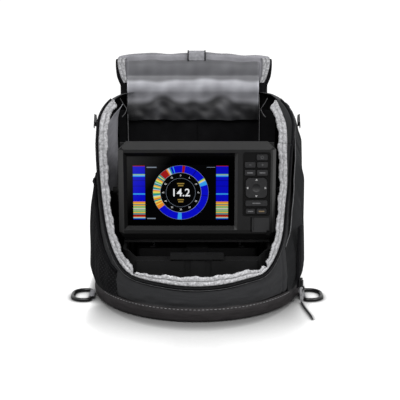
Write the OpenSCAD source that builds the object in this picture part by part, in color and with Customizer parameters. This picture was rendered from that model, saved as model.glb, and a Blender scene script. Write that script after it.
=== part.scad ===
// Portable fish finder: a keyed five inch display on a tilting bail, a moulded base with its
// battery, and the soft carry bag with its front flap thrown back.
// Millimetres, +Z up, front towards -Y, origin on the floor under the middle of the bag.

/* [Bag] */
// width across the bag at the floor
bag_w = 238; // [220:1:260]
// depth of the bag from front to back
bag_d = 185; // [165:1:210]
// height of the back wall
bag_h = 228; // [215:1:245]
// how far the rounded front stands out from the straight sides
front_bulge = 100; // [80:1:112]
// radius of the two rear corners
back_r = 25; // [15:1:40]
// how far each side leans in from the floor to the shoulder
side_lean = 6; // [0:0.5:10]
// radius of the two top shoulders
shoulder_r = 30; // [20:1:36]
// thickness of the padded wall
wall_t = 4; // [3:0.5:6]
// thickness of the lining
lining_t = 1; // [0.6:0.1:1.5]
// height of the front wall at the middle
front_h = 40; // [34:1:50]
// height of the coated base band
band_h = 17.5; // [12:0.5:26]
// thickness of the floor
floor_t = 4; // [3:0.5:6]
// width of the quilted trim around the mouth
trim_w = 12; // [8:0.5:16]
// bulge of the side pocket
pocket_t = 7; // [4:0.5:9]

/* [Flap] */
// width of the flap at its seam
flap_w = 177; // [160:1:184]
// length of the part that stands up behind the display
flap_a = 41; // [36:1:46]
// length of the part between the two folds
flap_b = 144; // [138:1:148]
// length of the part that closes the front
flap_c = 116; // [110:1:118]
// padded thickness of the flap
flap_t = 4; // [3:0.5:5]
// backward lean of the standing part
flap_lean = 6; // [0:1:10]

/* [Display] */
// width of the display housing
unit_w = 178; // [172:1:184]
// height of the display housing
unit_h = 112; // [110:1:116]
// depth of the front bezel
bezel_d = 14; // [12:0.5:18]
// depth of the rear cover behind the gasket
rear_d = 34; // [28:1:40]
// clearance around each key
key_gap = 0.3; // [0.2:0.05:0.45]
// travel of each key
key_travel = 1; // [0.6:0.1:1.1]
// radius of the tilt studs
stud_r = 3; // [2.5:0.25:4]
// radial play of a turning stud
run_fit = 0.05; // [0.03:0.01:0.08]

/* [Base] */
// height of the tray's side walls
tray_h = 62; // [58:1:66]
// wall of the tray
tray_t = 3; // [2:0.5:4]
// length of the battery
battery_l = 140; // [120:1:148]
// height of the battery
battery_h = 48; // [40:1:50]

/* [Rings] */
// width of each strap ring over its wire
ring_w = 40; // [34:1:46]
// reach of each strap ring
ring_l = 23; // [20:1:32]
// wire radius of each strap ring
ring_r = 2; // [1.5:0.25:2.5]

/* [Hidden] */
$fn = 48;
half_w = bag_w / 2;
front_y = -bag_d / 2;
back_y = bag_d / 2;
front_r = (half_w * half_w + front_bulge * front_bulge) / (2 * front_bulge);
arc_y = front_y + front_r;
shoulder_z = bag_h - shoulder_r;
shoulder_x = half_w - side_lean - shoulder_r;
// side view of the mouth: a scooped lower arc, a straight rise and a rounded upper arc
scoop_r = 110;
scoop_y = front_y - 35;
scoop_z = front_h + sqrt(scoop_r * scoop_r - 35 * 35);
rise_a = 66.7;
p1 = [scoop_y + scoop_r * sin(rise_a), scoop_z - scoop_r * cos(rise_a)];
crown_r = 80;
crown_z = bag_h - crown_r;
p2z = crown_z + crown_r * cos(rise_a);
p2 = [p1[0] + (p2z - p1[1]) / tan(rise_a), p2z];
crown_y = p2[0] + crown_r * sin(rise_a);
// flap hinge lines
hinge_y = back_y - 7;
hinge_z = bag_h + 3;
fold_gap = 2.5;
fold_off = 0.5 + flap_t + fold_gap;
fold_y = hinge_y + fold_off * cos(flap_lean) + flap_a * sin(flap_lean);
fold_z = hinge_z + flap_a * cos(flap_lean) - fold_off * sin(flap_lean);
bend_z = fold_z - flap_b;
// display place
unit_y = front_y + 70;
unit_z = 74;
pivot_y = 34;
pivot_z = 50;
rear_y = bezel_d + 1;
rear_end = rear_y + rear_d;
cover_w = unit_w - 22;
arm_x = cover_w / 2 + 1.5;
arm_t = 3;
// screws that hold the two halves of the housing together
case_x = unit_w / 2 - 4.5;
case_screws = [
  [-case_x, 10], [case_x, 10], [-case_x, unit_h - 10], [case_x, unit_h - 10], [0, unit_h - 5.5], [0, 5]
];
// glass and viewing window in the display's own frame
glass = [-78.8, 16, 121.3, 80.6];
// key rows: [left x, low z, width, height]
keys = [
  [66.9, 93.1, 12.2, 6.3],
  [53.7, 84.6, 11.8, 6.2],
  [67.5, 84.6, 11.9, 6.2],
  [53.7, 75.5, 11.8, 6.2],
  [67.5, 75.5, 11.9, 6.2],
  [54.7, 40.2, 24.7, 6.4],
  [55.3, 31.2, 10.3, 5.6],
  [67.5, 31.2, 11, 5.6]
];
pad = [54.9, 49.9, 24, 22.6];
pad_gap = 0.5;
door = [64.2, 9.6, 17.8, 16.8];
// base place: the tray leaves room for a screw post at each end of the battery
tray_w = battery_l + 28;
tray_front = front_y + 52;
tray_back = back_y - 13;
tray_z = floor_t + 0.5;
deck_z = tray_z + tray_h;
deck_front = unit_y + 18;
deck_t = 3;
bail_z = deck_z + deck_t;
bail_front = unit_y + pivot_y - 12;
battery_y = deck_front + 6;
battery_d = tray_back - tray_t - 3 - battery_y;
// strap rings
ring_y = front_y + 89;
ring_x = half_w + 5;
ring_z = ring_r + 0.3;
// pocket zip
zip_ang = 64.7;
zip_top = 92;
slider_z = 24;

// drawing helpers
module along_x(w) {
  rotate([90, 0, 90])
    linear_extrude(w, center = true)
      children();
}

module along_y(d) {
  rotate([90, 0, 0])
    translate([0, 0, -d])
      linear_extrude(d)
        children();
}

module rounded(w, h, r) {
  translate([r, 0])
    square([w - 2 * r, h]);
  translate([0, r])
    square([w, h - 2 * r]);
  for (x = [r, w - r])
    for (y = [r, h - r])
      translate([x, y])
        circle(r);
}

// a closed tube of joined rings, each ring a list of points
module sweep(rings) {
  n = len(rings);
  m = len(rings[0]);
  points = [for (r = rings) for (p = r) p];
  sides = [for (i = [0:n - 2]) for (j = [0:m - 1])
    for (t = [0, 1])
      t == 0
        ? [i * m + j, i * m + (j + 1) % m, (i + 1) * m + j]
        : [i * m + (j + 1) % m, (i + 1) * m + (j + 1) % m, (i + 1) * m + j]];
  first = [[for (j = [0:m - 1]) m - 1 - j]];
  last = [[for (j = [0:m - 1]) (n - 1) * m + j]];
  polyhedron(points, concat(sides, first, last));
}

function unit(v) = v / norm(v);

// bag plan: rounded front, straight sides, rounded rear corners
module plan(inset) {
  w = half_w - inset;
  b = back_y - inset;
  r = max(back_r - inset, 1);
  intersection() {
    union() {
      translate([-w, front_y - 20])
        square([2 * w, b - r - front_y + 20]);
      translate([-w + r, 0])
        square([2 * w - 2 * r, b]);
      for (s = [-1, 1])
        translate([s * (w - r), b - r])
          circle(r);
    }
    union() {
      translate([0, arc_y])
        circle(front_r - inset);
      translate([-w - 5, arc_y - (front_r - front_bulge)])
        square([2 * w + 10, bag_d]);
    }
  }
}

// front view: sides that lean in, rounded shoulders
module front_outline(inset) {
  r = shoulder_r - inset;
  x0 = half_w - inset;
  x1 = shoulder_x + r;
  polygon([[-x0, -1], [x0, -1], [x1, shoulder_z], [-x1, shoulder_z]]);
  translate([-shoulder_x, shoulder_z - 1])
    square([2 * shoulder_x, r + 1]);
  for (s = [-1, 1])
    translate([s * shoulder_x, shoulder_z])
      circle(r);
}

// side view of what is left of the bag once its mouth is cut
module side_outline() {
  difference() {
    polygon([[front_y - 10, -1], [back_y + 10, -1], [back_y + 10, bag_h + 10], [crown_y, bag_h + 10],
      [crown_y, bag_h], p2, p1, [front_y - 10, scoop_z]]);
    translate([scoop_y, scoop_z])
      circle(scoop_r);
  }
  intersection() {
    translate([crown_y, crown_z])
      circle(crown_r);
    translate([p2[0] - 30, crown_z])
      square([crown_y - p2[0] + 30, crown_r]);
  }
}

module bag_form(inset, low) {
  intersection() {
    translate([0, 0, low])
      linear_extrude(bag_h + 20)
        plan(inset);
    along_y_centred(3 * bag_d)
      front_outline(inset);
  }
}

module along_y_centred(d) {
  rotate([90, 0, 0])
    linear_extrude(d, center = true)
      children();
}

// path of the mouth's edge, from the left end over the front to the right end
function plan_x(y) = y < arc_y - (front_r - front_bulge)
  ? sqrt(max(front_r * front_r - (arc_y - y) * (arc_y - y), 0))
  : half_w;
function lean_x(z) = z < shoulder_z
  ? half_w - side_lean * z / shoulder_z
  : shoulder_x + sqrt(max(shoulder_r * shoulder_r - (z - shoulder_z) * (z - shoulder_z), 0));
function scoop_point(a) = let (y = arc_y - front_r * cos(a))
  [front_r * sin(a), y, scoop_z - sqrt(scoop_r * scoop_r - (y - scoop_y) * (y - scoop_y))];
function rise_point(t) = let (y = p1[0] + (p2[0] - p1[0]) * t, z = p1[1] + (p2[1] - p1[1]) * t)
  [min(plan_x(y), lean_x(z)), y, z];
function crown_point(a) = let (y = crown_y - crown_r * sin(a), z = crown_z + crown_r * cos(a))
  [min(plan_x(y), lean_x(z)), y, z];
scoop_end = acos((arc_y - p1[0]) / front_r);
crown_end = 25;
half_path = concat(
  [for (i = [0:15]) scoop_point(scoop_end * i / 16)],
  [for (i = [0:6]) rise_point(i / 7)],
  [for (i = [0:10]) crown_point(rise_a + (crown_end - rise_a) * i / 10)]
);
half_n = len(half_path);
mouth = concat(
  [for (i = [half_n - 1:-1:1]) [-half_path[i][0], half_path[i][1], half_path[i][2]]],
  half_path
);
mouth_n = len(mouth);
function tangent(i) = unit(mouth[min(i + 1, mouth_n - 1)] - mouth[max(i - 1, 0)]);
// across the opening, as the viewer in front sees it
function inward(i) = let (t = tangent(i)) unit([-t[2], 0, t[0]]);
// away from the cut edge of the wall
function lift(i) = let (p = mouth[i])
  p[2] < p1[1] ? unit([0, scoop_y - p[1], scoop_z - p[2]])
  : p[2] < p2[1] ? [0, -sin(rise_a), cos(rise_a)]
  : unit([0, p[1] - crown_y, p[2] - crown_z]);
// the same, but never down into the cut edge
function along_edge(i) = let (e = inward(i), f = lift(i)) unit(e - min(e * f, 0) * f);
// out of the wall
function outward(i) = let (p = mouth[i], w = min(max((p[1] - p1[0] - 8) / 22, 0), 1), t = tangent(i))
  unit(cross(t, [0, -w, 1 - w]));

// Bag
// the middle of the top is open back to the flap's seam, so that the flap can close over it
module top_opening() {
  w = max(flap_w / 2 + 2, seam_x);
  translate([-w, front_y, shoulder_z - 10])
    cube([2 * w, hinge_y - 5 - front_y, shoulder_r + 40]);
}

module wall_shell() {
  difference() {
    intersection() {
      bag_form(0, floor_t + 0.1);
      along_x(bag_w + 40)
        side_outline();
    }
    bag_form(wall_t, floor_t - 1);
    top_opening();
  }
}

// the four sewn panels meet at seams on the front corners and on the rear corners
seam_front = front_y + 62;
seam_back = back_y - back_r - 4;
seam_x = shoulder_x - 6;
module panel_block(x0, x1, y0, y1) {
  translate([x0, y0, 0])
    cube([x1 - x0, y1 - y0, bag_h + 20]);
}

module front_panel() {
  color("#26272a")
    intersection() {
      wall_shell();
      panel_block(-bag_w, bag_w, front_y - 10, seam_front);
    }
}

module left_panel() {
  color("#26272a")
    intersection() {
      wall_shell();
      panel_block(-bag_w, -seam_x, seam_front, seam_back);
    }
}

module right_panel() {
  color("#26272a")
    intersection() {
      wall_shell();
      panel_block(seam_x, bag_w, seam_front, seam_back);
    }
}

// the back panel ends at the top in a narrow strip that carries the flap's seam
module back_panel() {
  color("#222326")
    intersection() {
      wall_shell();
      panel_block(-bag_w, bag_w, seam_back, back_y + 10);
    }
}

module bag_floor() {
  color("#1c1a1b")
    difference() {
      linear_extrude(band_h)
        plan(-1.3);
      translate([0, 0, floor_t])
        linear_extrude(band_h)
          plan(-0.1);
    }
}

module bag_lining() {
  color("#5d5d62")
    difference() {
      intersection() {
        bag_form(wall_t + 0.1, floor_t + 0.2);
        along_x(bag_w + 40)
          side_outline();
      }
      bag_form(wall_t + 0.1 + lining_t, floor_t - 1);
      top_opening();
    }
}

// quilted band that stands into the mouth, two puffed rows with a stitched valley between
module mouth_trim() {
  rings = [for (i = [0:mouth_n - 1])
    let (e = along_edge(i), t = tangent(i), g = unit(cross(t, e)), o = mouth[i] + e * 2 + lift(i) * 2.1)
      [o - g * 1.3, o + g * 1.3, o + e * trim_w * 0.25 + g * 2.2, o + e * trim_w * 0.5 + g * 1.1,
        o + e * trim_w * 0.75 + g * 2.2, o + e * trim_w + g * 1.1, o + e * trim_w - g * 1.1]];
  color("#c6c6ca")
    sweep(rings);
}

// zip tape and its coil along the outside of the mouth
module mouth_zip() {
  rings = [for (i = [0:mouth_n - 1])
    let (n = outward(i), d = unit(cross(tangent(i), n)), o = mouth[i] + n * 0.85 - d * 0.5)
      [o + d * 8, o + n * 0.9 + d * 8, o + n * 0.9 + d * 2.6, o + n * 1.9 + d * 2.2, o + n * 1.9, o]];
  color("#101113")
    sweep(rings);
}

// thin folded side cloths at the rear of the mouth
module side_gussets() {
  x = half_w - 15.5;
  y = back_y - wall_t - lining_t - 1;
  color("#141517")
    for (s = [-1, 1])
      translate([0, 0, 120])
        linear_extrude(bag_h - 140)
          polygon([[s * (x - 7.5), y], [s * (x - 1.5), y - 16], [s * (x - 9.5), y - 28],
            [s * (x - 8.3), y - 28.8], [s * x, y - 16], [s * (x - 6.3), y]]);
}

// the lining that hangs in swags inside the top of the back wall
module back_facing() {
  y = back_y - wall_t - lining_t - 0.4;
  color("#47484c")
    along_x(flap_w - 25)
      difference() {
        union() {
          translate([y - 5, 206])
            square([5, bag_h - 213]);
          translate([y - 5, 218])
            circle(3);
          translate([y - 4.5, 209])
            circle(3.6);
        }
        translate([y, 180])
          square([20, 60]);
      }
}

module pocket_shell(t, x0, x1, y0, y1, z0, z1) {
  intersection() {
    difference() {
      bag_form(-t, 0);
      bag_form(-0.25, -5);
    }
    translate([x0, y0, z0])
      cube([x1 - x0, y1 - y0, z1 - z0]);
  }
}

module mesh_pocket() {
  color("#131416")
    intersection() {
      pocket_shell(pocket_t - 0.5, -half_w - 20, -60, front_y + 40, back_y - 30, band_h + 0.4, 136);
      along_x(bag_w + 80)
        translate([6, -12])
          side_outline();
    }
}

module side_pocket() {
  color("#232427")
    intersection() {
      pocket_shell(pocket_t, 60, half_w + 20, front_y + 57, back_y - 20, band_h + 0.4, 206);
      along_x(bag_w + 80)
        translate([6, -12])
          side_outline();
    }
}

module on_zip(z) {
  translate([0, arc_y, z])
    rotate([0, 0, zip_ang - 90])
      translate([front_r + pocket_t, 0, 0])
        children();
}

module pocket_zip() {
  color("#0e0f11")
    on_zip(band_h + 2) {
      translate([0.3, -5, 0])
        cube([1, 10, zip_top - band_h - 2]);
      translate([1.2, -1.6, 0])
        cube([1, 3.2, zip_top - band_h - 2]);
    }
}

module pocket_slider() {
  color("#0c0c0d")
    on_zip(slider_z)
      difference() {
        union() {
          translate([2.4, -3.5, -6])
            cube([2, 7, 12]);
          translate([4.3, -2, -4])
            cube([1.6, 4, 8]);
          translate([5.2, 0, -5])
            rotate([90, 0, 0])
              cylinder(r = 2.8, h = 2, center = true);
        }
        translate([5.2, 0, -5])
          rotate([90, 0, 0])
            cylinder(r = 1.6, h = 12, center = true);
      }
}

// flat grip that hangs from the slider's eye
module pull_grip() {
  color("#b9babd")
    on_zip(slider_z)
      translate([5.2, 0, -5]) {
        rotate([90, 0, 0])
          difference() {
            cylinder(r = 1.55, h = 7.6, center = true);
            cylinder(r = 0.6, h = 9, center = true);
          }
        for (s = [-1, 1])
          translate([-1.2, s * 3 - 0.8, -7])
            cube([2.4, 1.6, 7]);
        translate([-1.2, -2.8, -8.5])
          cube([2.4, 5.6, 3]);
        rotate([0, 90, 0])
          translate([8, 0, -1.2])
            linear_extrude(2.4)
              polygon([[0, -2.8], [0, 2.8], [5, 2.4], [8.6, 1.4], [8.6, -1.4], [5, -2.4]]);
      }
}

// thin cord tail, from under the grip's tip along the floor
cord_d = 2;
cord_exit = [
  (front_r + pocket_t + 5.2) * sin(zip_ang),
  arc_y - (front_r + pocket_t + 5.2) * cos(zip_ang),
  slider_z - 22.68
];
cord_route = [
  [-0.2, 2, 0], [0, -1, 0], [0.3, -5, 0], [0.8, -10, 0], [1.4, -15, 0], [2.2, -20, 0], [3, -25, 0],
  [3.9, -30, 0], [4.8, -35, 0], [5.6, -40, 0], [6.3, -45, 0], [6.8, -50, 0], [7.2, -55, 0]
];
module pull_cord() {
  rings = [for (i = [0:len(cord_route) - 1])
    let (a = cord_route[max(i - 1, 0)], b = cord_route[min(i + 1, len(cord_route) - 1)],
      t = unit(b - a), u = unit(cross(t, [0, 0, 1])), v = cross(u, t),
      r = cord_d / 2 * (i == len(cord_route) - 1 ? 0.6 : 1))
      [for (k = [0:7]) cord_exit + cord_route[i] + u * r * cos(k * 45) + v * r * sin(k * 45)]];
  color("#161617")
    sweep(rings);
}

// sliders of the mouth's zip, parked near its rear ends
slider_a = 44;
module zip_slider(s) {
  x = lean_x(crown_z + crown_r * cos(slider_a)) + 4.9;
  color("#0c0c0d")
    translate([0, crown_y, crown_z])
      rotate([slider_a, 0, 0])
        translate([s * x, 0, crown_r - 3]) {
          cube([2, 11, 8], center = true);
          translate([s * 1.4, -1, 0])
            cube([1, 18, 4], center = true);
        }
}

module left_zip_slider() {
  zip_slider(-1);
}

module right_zip_slider() {
  zip_slider(1);
}

// webbing tabs that hold the strap rings at the floor
module ring_tabs() {
  color("#2b2c2f")
    for (s = [-1, 1])
      translate([s * ring_x, ring_y, ring_z])
        difference() {
          union() {
            rotate([90, 0, 0])
              cylinder(r = ring_z, h = ring_w - 2 * ring_r - 12, center = true);
            translate([-s * 1.75, 0, 0])
              cube([3.5, ring_w - 2 * ring_r - 12, 2 * ring_z], center = true);
          }
          rotate([90, 0, 0])
            cylinder(r = ring_r + run_fit, h = ring_w, center = true);
        }
}

// ring of round wire: a straight bar in the tab, two legs and a bowed end
ring_in = 5;
ring_out = 13;
module wire_bend(r, a) {
  rotate([0, 0, a])
    rotate_extrude(angle = 90)
      translate([r, 0])
        circle(ring_r);
}

module strap_ring(s) {
  w = ring_w / 2 - ring_r;
  l = ring_l - ring_r;
  color("#17181a")
    translate([s * ring_x, ring_y, ring_z])
      mirror([s < 0 ? 1 : 0, 0, 0]) {
        rotate([90, 0, 0])
          cylinder(r = ring_r, h = 2 * (w - ring_in), center = true);
        translate([l, 0, 0])
          rotate([90, 0, 0])
            cylinder(r = ring_r, h = 2 * (w - ring_out), center = true);
        for (k = [-1, 1]) {
          translate([ring_in, k * w, 0])
            rotate([0, 90, 0])
              cylinder(r = ring_r, h = l - ring_in - ring_out);
          translate([ring_in, k * (w - ring_in), 0])
            wire_bend(ring_in, k > 0 ? 90 : 180);
          translate([l - ring_out, k * (w - ring_out), 0])
            wire_bend(ring_out, k > 0 ? 0 : -90);
        }
      }
}

module left_ring() {
  strap_ring(-1);
}

module right_ring() {
  strap_ring(1);
}

// Flap
module at_hinge() {
  translate([0, hinge_y, hinge_z])
    rotate([-flap_lean, 0, 0])
      children();
}

module at_fold() {
  translate([0, fold_y, fold_z])
    children();
}

module flap_standing() {
  color("#8f9094")
    at_hinge() {
      translate([-flap_w / 2, 0.5, 0.6])
        cube([flap_w, flap_t, flap_a - 0.6]);
      // seam roll along the top of the back panel
      rotate([0, 90, 0])
        cylinder(r = hinge_z - bag_h - 0.3, h = flap_w - 9, center = true);
    }
}

// pale trim on both side edges of the standing part
module flap_edging() {
  color("#c2c2c6")
    at_hinge()
      for (s = [-1, 1])
        translate([s * (flap_w / 2 - 4.5) - 4.5, -2, 6])
          cube([9, 2.4, flap_a - 6]);
}

// satin pocket panel on the inside of the standing part
module flap_pocket() {
  color("#77787c")
    at_hinge()
      along_x(flap_w - 25)
        intersection() {
          union() {
            translate([-3, 20])
              square([3.4, flap_a - 26]);
            translate([12, 22])
              circle(20);
          }
          translate([-12, 8])
            square([12.4, flap_a - 14]);
        }
}

// webbing tab over the fold
module flap_tab() {
  color("#96979b")
    at_hinge()
      translate([-9.5, -1.8, flap_a - 6])
        cube([19, 2.2, 9]);
}

// padded middle part with raised trim along both edges
module flap_middle() {
  w0 = flap_w / 2;
  w1 = flap_w / 2 + 14;
  color("#2a2b2e")
    at_fold()
      translate([0, fold_gap, 0]) {
        along_y(flap_t)
          polygon([[-w0, -0.6], [w0, -0.6], [w1, -flap_b + 0.3], [-w1, -flap_b + 0.3]]);
        for (s = [-1, 1])
          along_y(flap_t + 2)
            polygon([[s * w0, -0.6], [s * w1, -flap_b + 3], [s * (w1 - trim_w), -flap_b + 3],
              [s * (w0 - trim_w), -0.6]]);
      }
  // folded edge that meets the standing part
  color("#2a2b2e")
    at_fold() {
      rotate([0, 90, 0])
        cylinder(r = fold_gap - 0.3, h = flap_w - 6, center = true);
      translate([-flap_w / 2 + 3, 0, 0.3 - fold_gap])
        cube([flap_w - 6, fold_gap + 0.2, fold_gap - 0.3]);
    }
}

front_half = flap_w / 2 + 14;
front_round = flap_c / 2 - 2;
module front_shape(inset) {
  translate([-front_half + inset, -flap_c + front_round])
    square([2 * (front_half - inset), flap_c - front_round - 0.3]);
  translate([-front_half + front_round, -flap_c + inset])
    square([2 * (front_half - front_round), flap_c - inset - 0.3]);
  for (s = [-1, 1])
    translate([s * (front_half - front_round), -flap_c + front_round])
      circle(front_round - inset);
}

// padded front part with raised trim around its rounded edge
module flap_front() {
  color("#2a2b2e")
    translate([0, fold_y + fold_gap, bend_z]) {
      along_y(flap_t)
        front_shape(0);
      along_y(flap_t + 2)
        intersection() {
          difference() {
            front_shape(0);
            translate([0, 1])
              front_shape(trim_w);
          }
          translate([-bag_w, -flap_c - 1])
            square([2 * bag_w, flap_c - 4]);
        }
    }
}

// Base
module tray_outline(inset) {
  w = tray_w / 2 - inset;
  d = tray_back - tray_front - 2 * inset;
  translate([-w, tray_front + inset])
    rounded(2 * w, d, 14 - inset);
}

post_x = tray_w / 2 - 7;
post_y = [bail_front + 34, tray_back - 10];
lip_z = 59.5;
module base_tray() {
  color("#1a1b1d")
    difference() {
      union() {
        difference() {
          translate([0, 0, tray_z])
            linear_extrude(tray_h)
              tray_outline(0);
          translate([0, 0, tray_z + tray_t])
            linear_extrude(tray_h)
              tray_outline(tray_t);
          // the front wall drops between the sides and leaves a trapezoid mouth
          translate([0, tray_front - 30, 0])
            along_y(44)
              polygon([[-69, lip_z], [69, lip_z], [78, deck_z + 1], [-78, deck_z + 1]]);
        }
        // stepped face of the front wall
        translate([-68, tray_front - 3, tray_z])
          cube([136, 4, 56 - tray_z]);
        // finger tongue in the middle of the front lip
        translate([-30, tray_front - 5, lip_z - 1.5])
          cube([60, 5 + tray_t, 6]);
        // posts that carry the deck
        for (s = [-1, 1])
          for (y = post_y)
            translate([s * post_x, y, tray_z + 1])
              cylinder(r = 4.5, h = tray_h - 1);
      }
      // two finger grooves down the front
      for (x = [-14.5, 9])
        translate([x, tray_front - 4, tray_z + 20])
          cube([7.5, 2.6, 60]);
      for (s = [-1, 1])
        for (y = post_y)
          translate([s * post_x, y, deck_z - 14])
            cylinder(r = 1.6, h = 20);
    }
}

module base_deck() {
  color("#202124")
    difference() {
      intersection() {
        translate([0, 0, deck_z + 0.05])
          linear_extrude(deck_t - 0.05)
            tray_outline(0);
        translate([-bag_w / 2, deck_front, 0])
          cube([bag_w, bag_d, 200]);
      }
      for (s = [-1, 1]) {
        for (y = post_y)
          translate([s * post_x, y, deck_z - 1])
            cylinder(r = 1.7, h = 20);
        for (y = bail_screw_y)
          translate([s * 50, y, deck_z - 1])
            cylinder(r = 1.7, h = 20);
      }
    }
}

bail_screw_y = [bail_front + 6, bail_front + 18];
module base_screw() {
  translate([0, 0, -12])
    cylinder(r = 1.5, h = 12.5);
  difference() {
    cylinder(r = 3.2, h = 2);
    translate([0, 0, 1])
      cylinder(r = 1.6, h = 2, $fn = 6);
  }
}

// the same screw holds the deck to the tray and the bail to the deck
module base_screws() {
  color("#8a8c90")
    for (s = [-1, 1]) {
      for (y = post_y)
        translate([s * post_x, y, bail_z + 0.05])
          base_screw();
      for (y = bail_screw_y)
        translate([s * 50, y, bail_z + 3.1])
          base_screw();
    }
}

battery_z = tray_z + tray_t + 1.85;
module battery() {
  color("#33363b") {
    translate([-battery_l / 2, battery_y, battery_z])
      linear_extrude(battery_h)
        rounded(battery_l, battery_d, 4);
    // flat terminals
    for (x = [-52, 52])
      translate([x - 3.2, battery_y + 6, battery_z + battery_h - 1])
        cube([6.4, 5.8, 2]);
  }
}

// webbing strap around the battery
module battery_strap() {
  z0 = tray_z + tray_t + 0.2;
  z1 = battery_z + battery_h + 0.1;
  color("#1b1c1f")
    along_x(25)
      difference() {
        translate([battery_y - 2, z0])
          square([battery_d + 4, z1 + 1.6 - z0]);
        translate([battery_y - 0.2, z0 + 1.6])
          square([battery_d + 0.4, z1 - z0 - 1.6]);
      }
}

// Bail
module bail_bracket() {
  h = unit_z + pivot_z - bail_z;
  color("#2c2d30")
    translate([0, bail_front, bail_z + 0.05])
      difference() {
        union() {
          translate([-arm_x - arm_t, 0, 0])
            cube([2 * (arm_x + arm_t), 24, 3]);
          for (s = [-1, 1])
            translate([s * (arm_x + arm_t / 2), 12, 0])
              rotate([90, 0, 90])
                linear_extrude(arm_t, center = true) {
                  translate([-12, 0])
                    square([24, h]);
                  translate([0, h])
                    circle(12);
                }
        }
        for (s = [-1, 1]) {
          translate([s * (arm_x + arm_t / 2), 12, h - 0.05])
            rotate([0, 90, 0])
              cylinder(r = stud_r + run_fit, h = arm_t + 4, center = true);
          for (y = [6, 18])
            translate([s * 50, y, -1])
              cylinder(r = 1.7, h = 6);
        }
      }
}

module in_unit() {
  translate([0, unit_y, unit_z])
    children();
}

module on_pivot(s) {
  in_unit()
    translate([0, pivot_y, pivot_z])
      rotate([0, s * 90, 0])
        children();
}

module tilt_washers() {
  color("#3a3b3e")
    for (s = [-1, 1])
      on_pivot(s)
        translate([0, 0, cover_w / 2 + 0.05])
          difference() {
            cylinder(r = 8, h = 1.4);
            translate([0, 0, -1])
              cylinder(r = stud_r + 0.15, h = 5);
          }
}

// lobed clamp knob with its stud
module tilt_knob(s) {
  x0 = arm_x + arm_t + 0.1;
  color("#151618")
    on_pivot(s) {
      translate([0, 0, cover_w / 2 - 7])
        cylinder(r = stud_r, h = 10 + arm_t);
      difference() {
        translate([0, 0, x0])
          cylinder(r = 12, h = 9);
        for (a = [0:45:315])
          rotate([0, 0, a])
            translate([13.4, 0, x0 - 1])
              cylinder(r = 2.6, h = 12);
      }
      translate([0, 0, x0 + 8])
        cylinder(r = 4.2, h = 6.5);
    }
}

module left_knob() {
  tilt_knob(-1);
}

module right_knob() {
  tilt_knob(1);
}

// Display
module bezel_block() {
  w = unit_w / 2;
  intersection() {
    // seen from above: bevelled left and right edges
    linear_extrude(unit_h)
      polygon([[-w + 6.5, 0], [w - 6.5, 0], [w, 9], [w, bezel_d], [-w, bezel_d], [-w, 9]]);
    // seen from the side: a low brow and a deep chin
    along_x(unit_w + 20)
      polygon([[0, 8], [6, 0], [bezel_d, 0], [bezel_d, unit_h], [10, unit_h], [0, unit_h - 7]]);
    // seen from the front: clipped corners
    along_y(bezel_d)
      polygon([[-w + 8, 0], [w - 8, 0], [w, 8], [w, unit_h - 9], [w - 9, unit_h], [-w + 9, unit_h],
        [-w, unit_h - 9], [-w, 8]]);
  }
}

// sloping well down to the glass
module screen_well() {
  x0 = glass[0];
  x1 = glass[0] + glass[2];
  z0 = glass[1];
  z1 = glass[1] + glass[3];
  intersection() {
    linear_extrude(unit_h)
      polygon([[x0 - 4.8, -1], [x1 + 4.4, -1], [x1, 4], [x1, 5], [x0, 5], [x0, 4]]);
    along_x(unit_w * 2)
      polygon([[-1, z0 - 5], [4, z0], [5, z0], [5, z1], [4, z1], [-1, z1 + 6]]);
  }
}

module key_shape(k, grow) {
  translate([k[0] - grow, k[1] - grow])
    rounded(k[2] + 2 * grow, k[3] + 2 * grow, 1.4 + max(grow, -0.5));
}

module front_bezel() {
  color("#2b2c2f")
    in_unit()
      difference() {
        bezel_block();
        screen_well();
        // seat of the lens, open to the rear
        translate([glass[0] - 2, 4, glass[1] - 2])
          cube([glass[2] + 4, bezel_d, glass[3] + 4]);
        // shallow keypad field
        translate([0, -1, 0])
          along_y(2)
            translate([51.5, 28])
              rounded(31, 74, 3);
        // keypad room, open to the rear
        translate([50.5, 5, 28])
          cube([33, bezel_d, 74]);
        translate([0, -2, 0])
          along_y(10) {
            for (k = keys)
              key_shape(k, key_gap);
            translate([pad[0] - pad_gap, pad[1] - pad_gap])
              rounded(pad[2] + 2 * pad_gap, pad[3] + 2 * pad_gap, 5 + pad_gap);
          }
        // seat of the card door with its hinge groove and thumb notch
        translate([door[0] - 0.4, -1, door[1] - 0.4])
          cube([door[2] + 0.8, 3.6, door[3] + 0.8]);
        translate([60.4, -1, door[1] - 0.4])
          cube([4.4, 3.6, door[3] + 0.8]);
        translate([door[0] + 1.5, 1, door[1] + 4])
          cube([15.4, bezel_d, 6]);
        translate([door[0] + door[2] - 3.5, -1, door[1] - 4])
          cube([4.5, 3.6, 5]);
        // screw holes
        for (p = case_screws)
          translate([p[0], 7.5, p[1]])
            rotate([-90, 0, 0])
              cylinder(r = 1.25, h = 20);
      }
}

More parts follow.
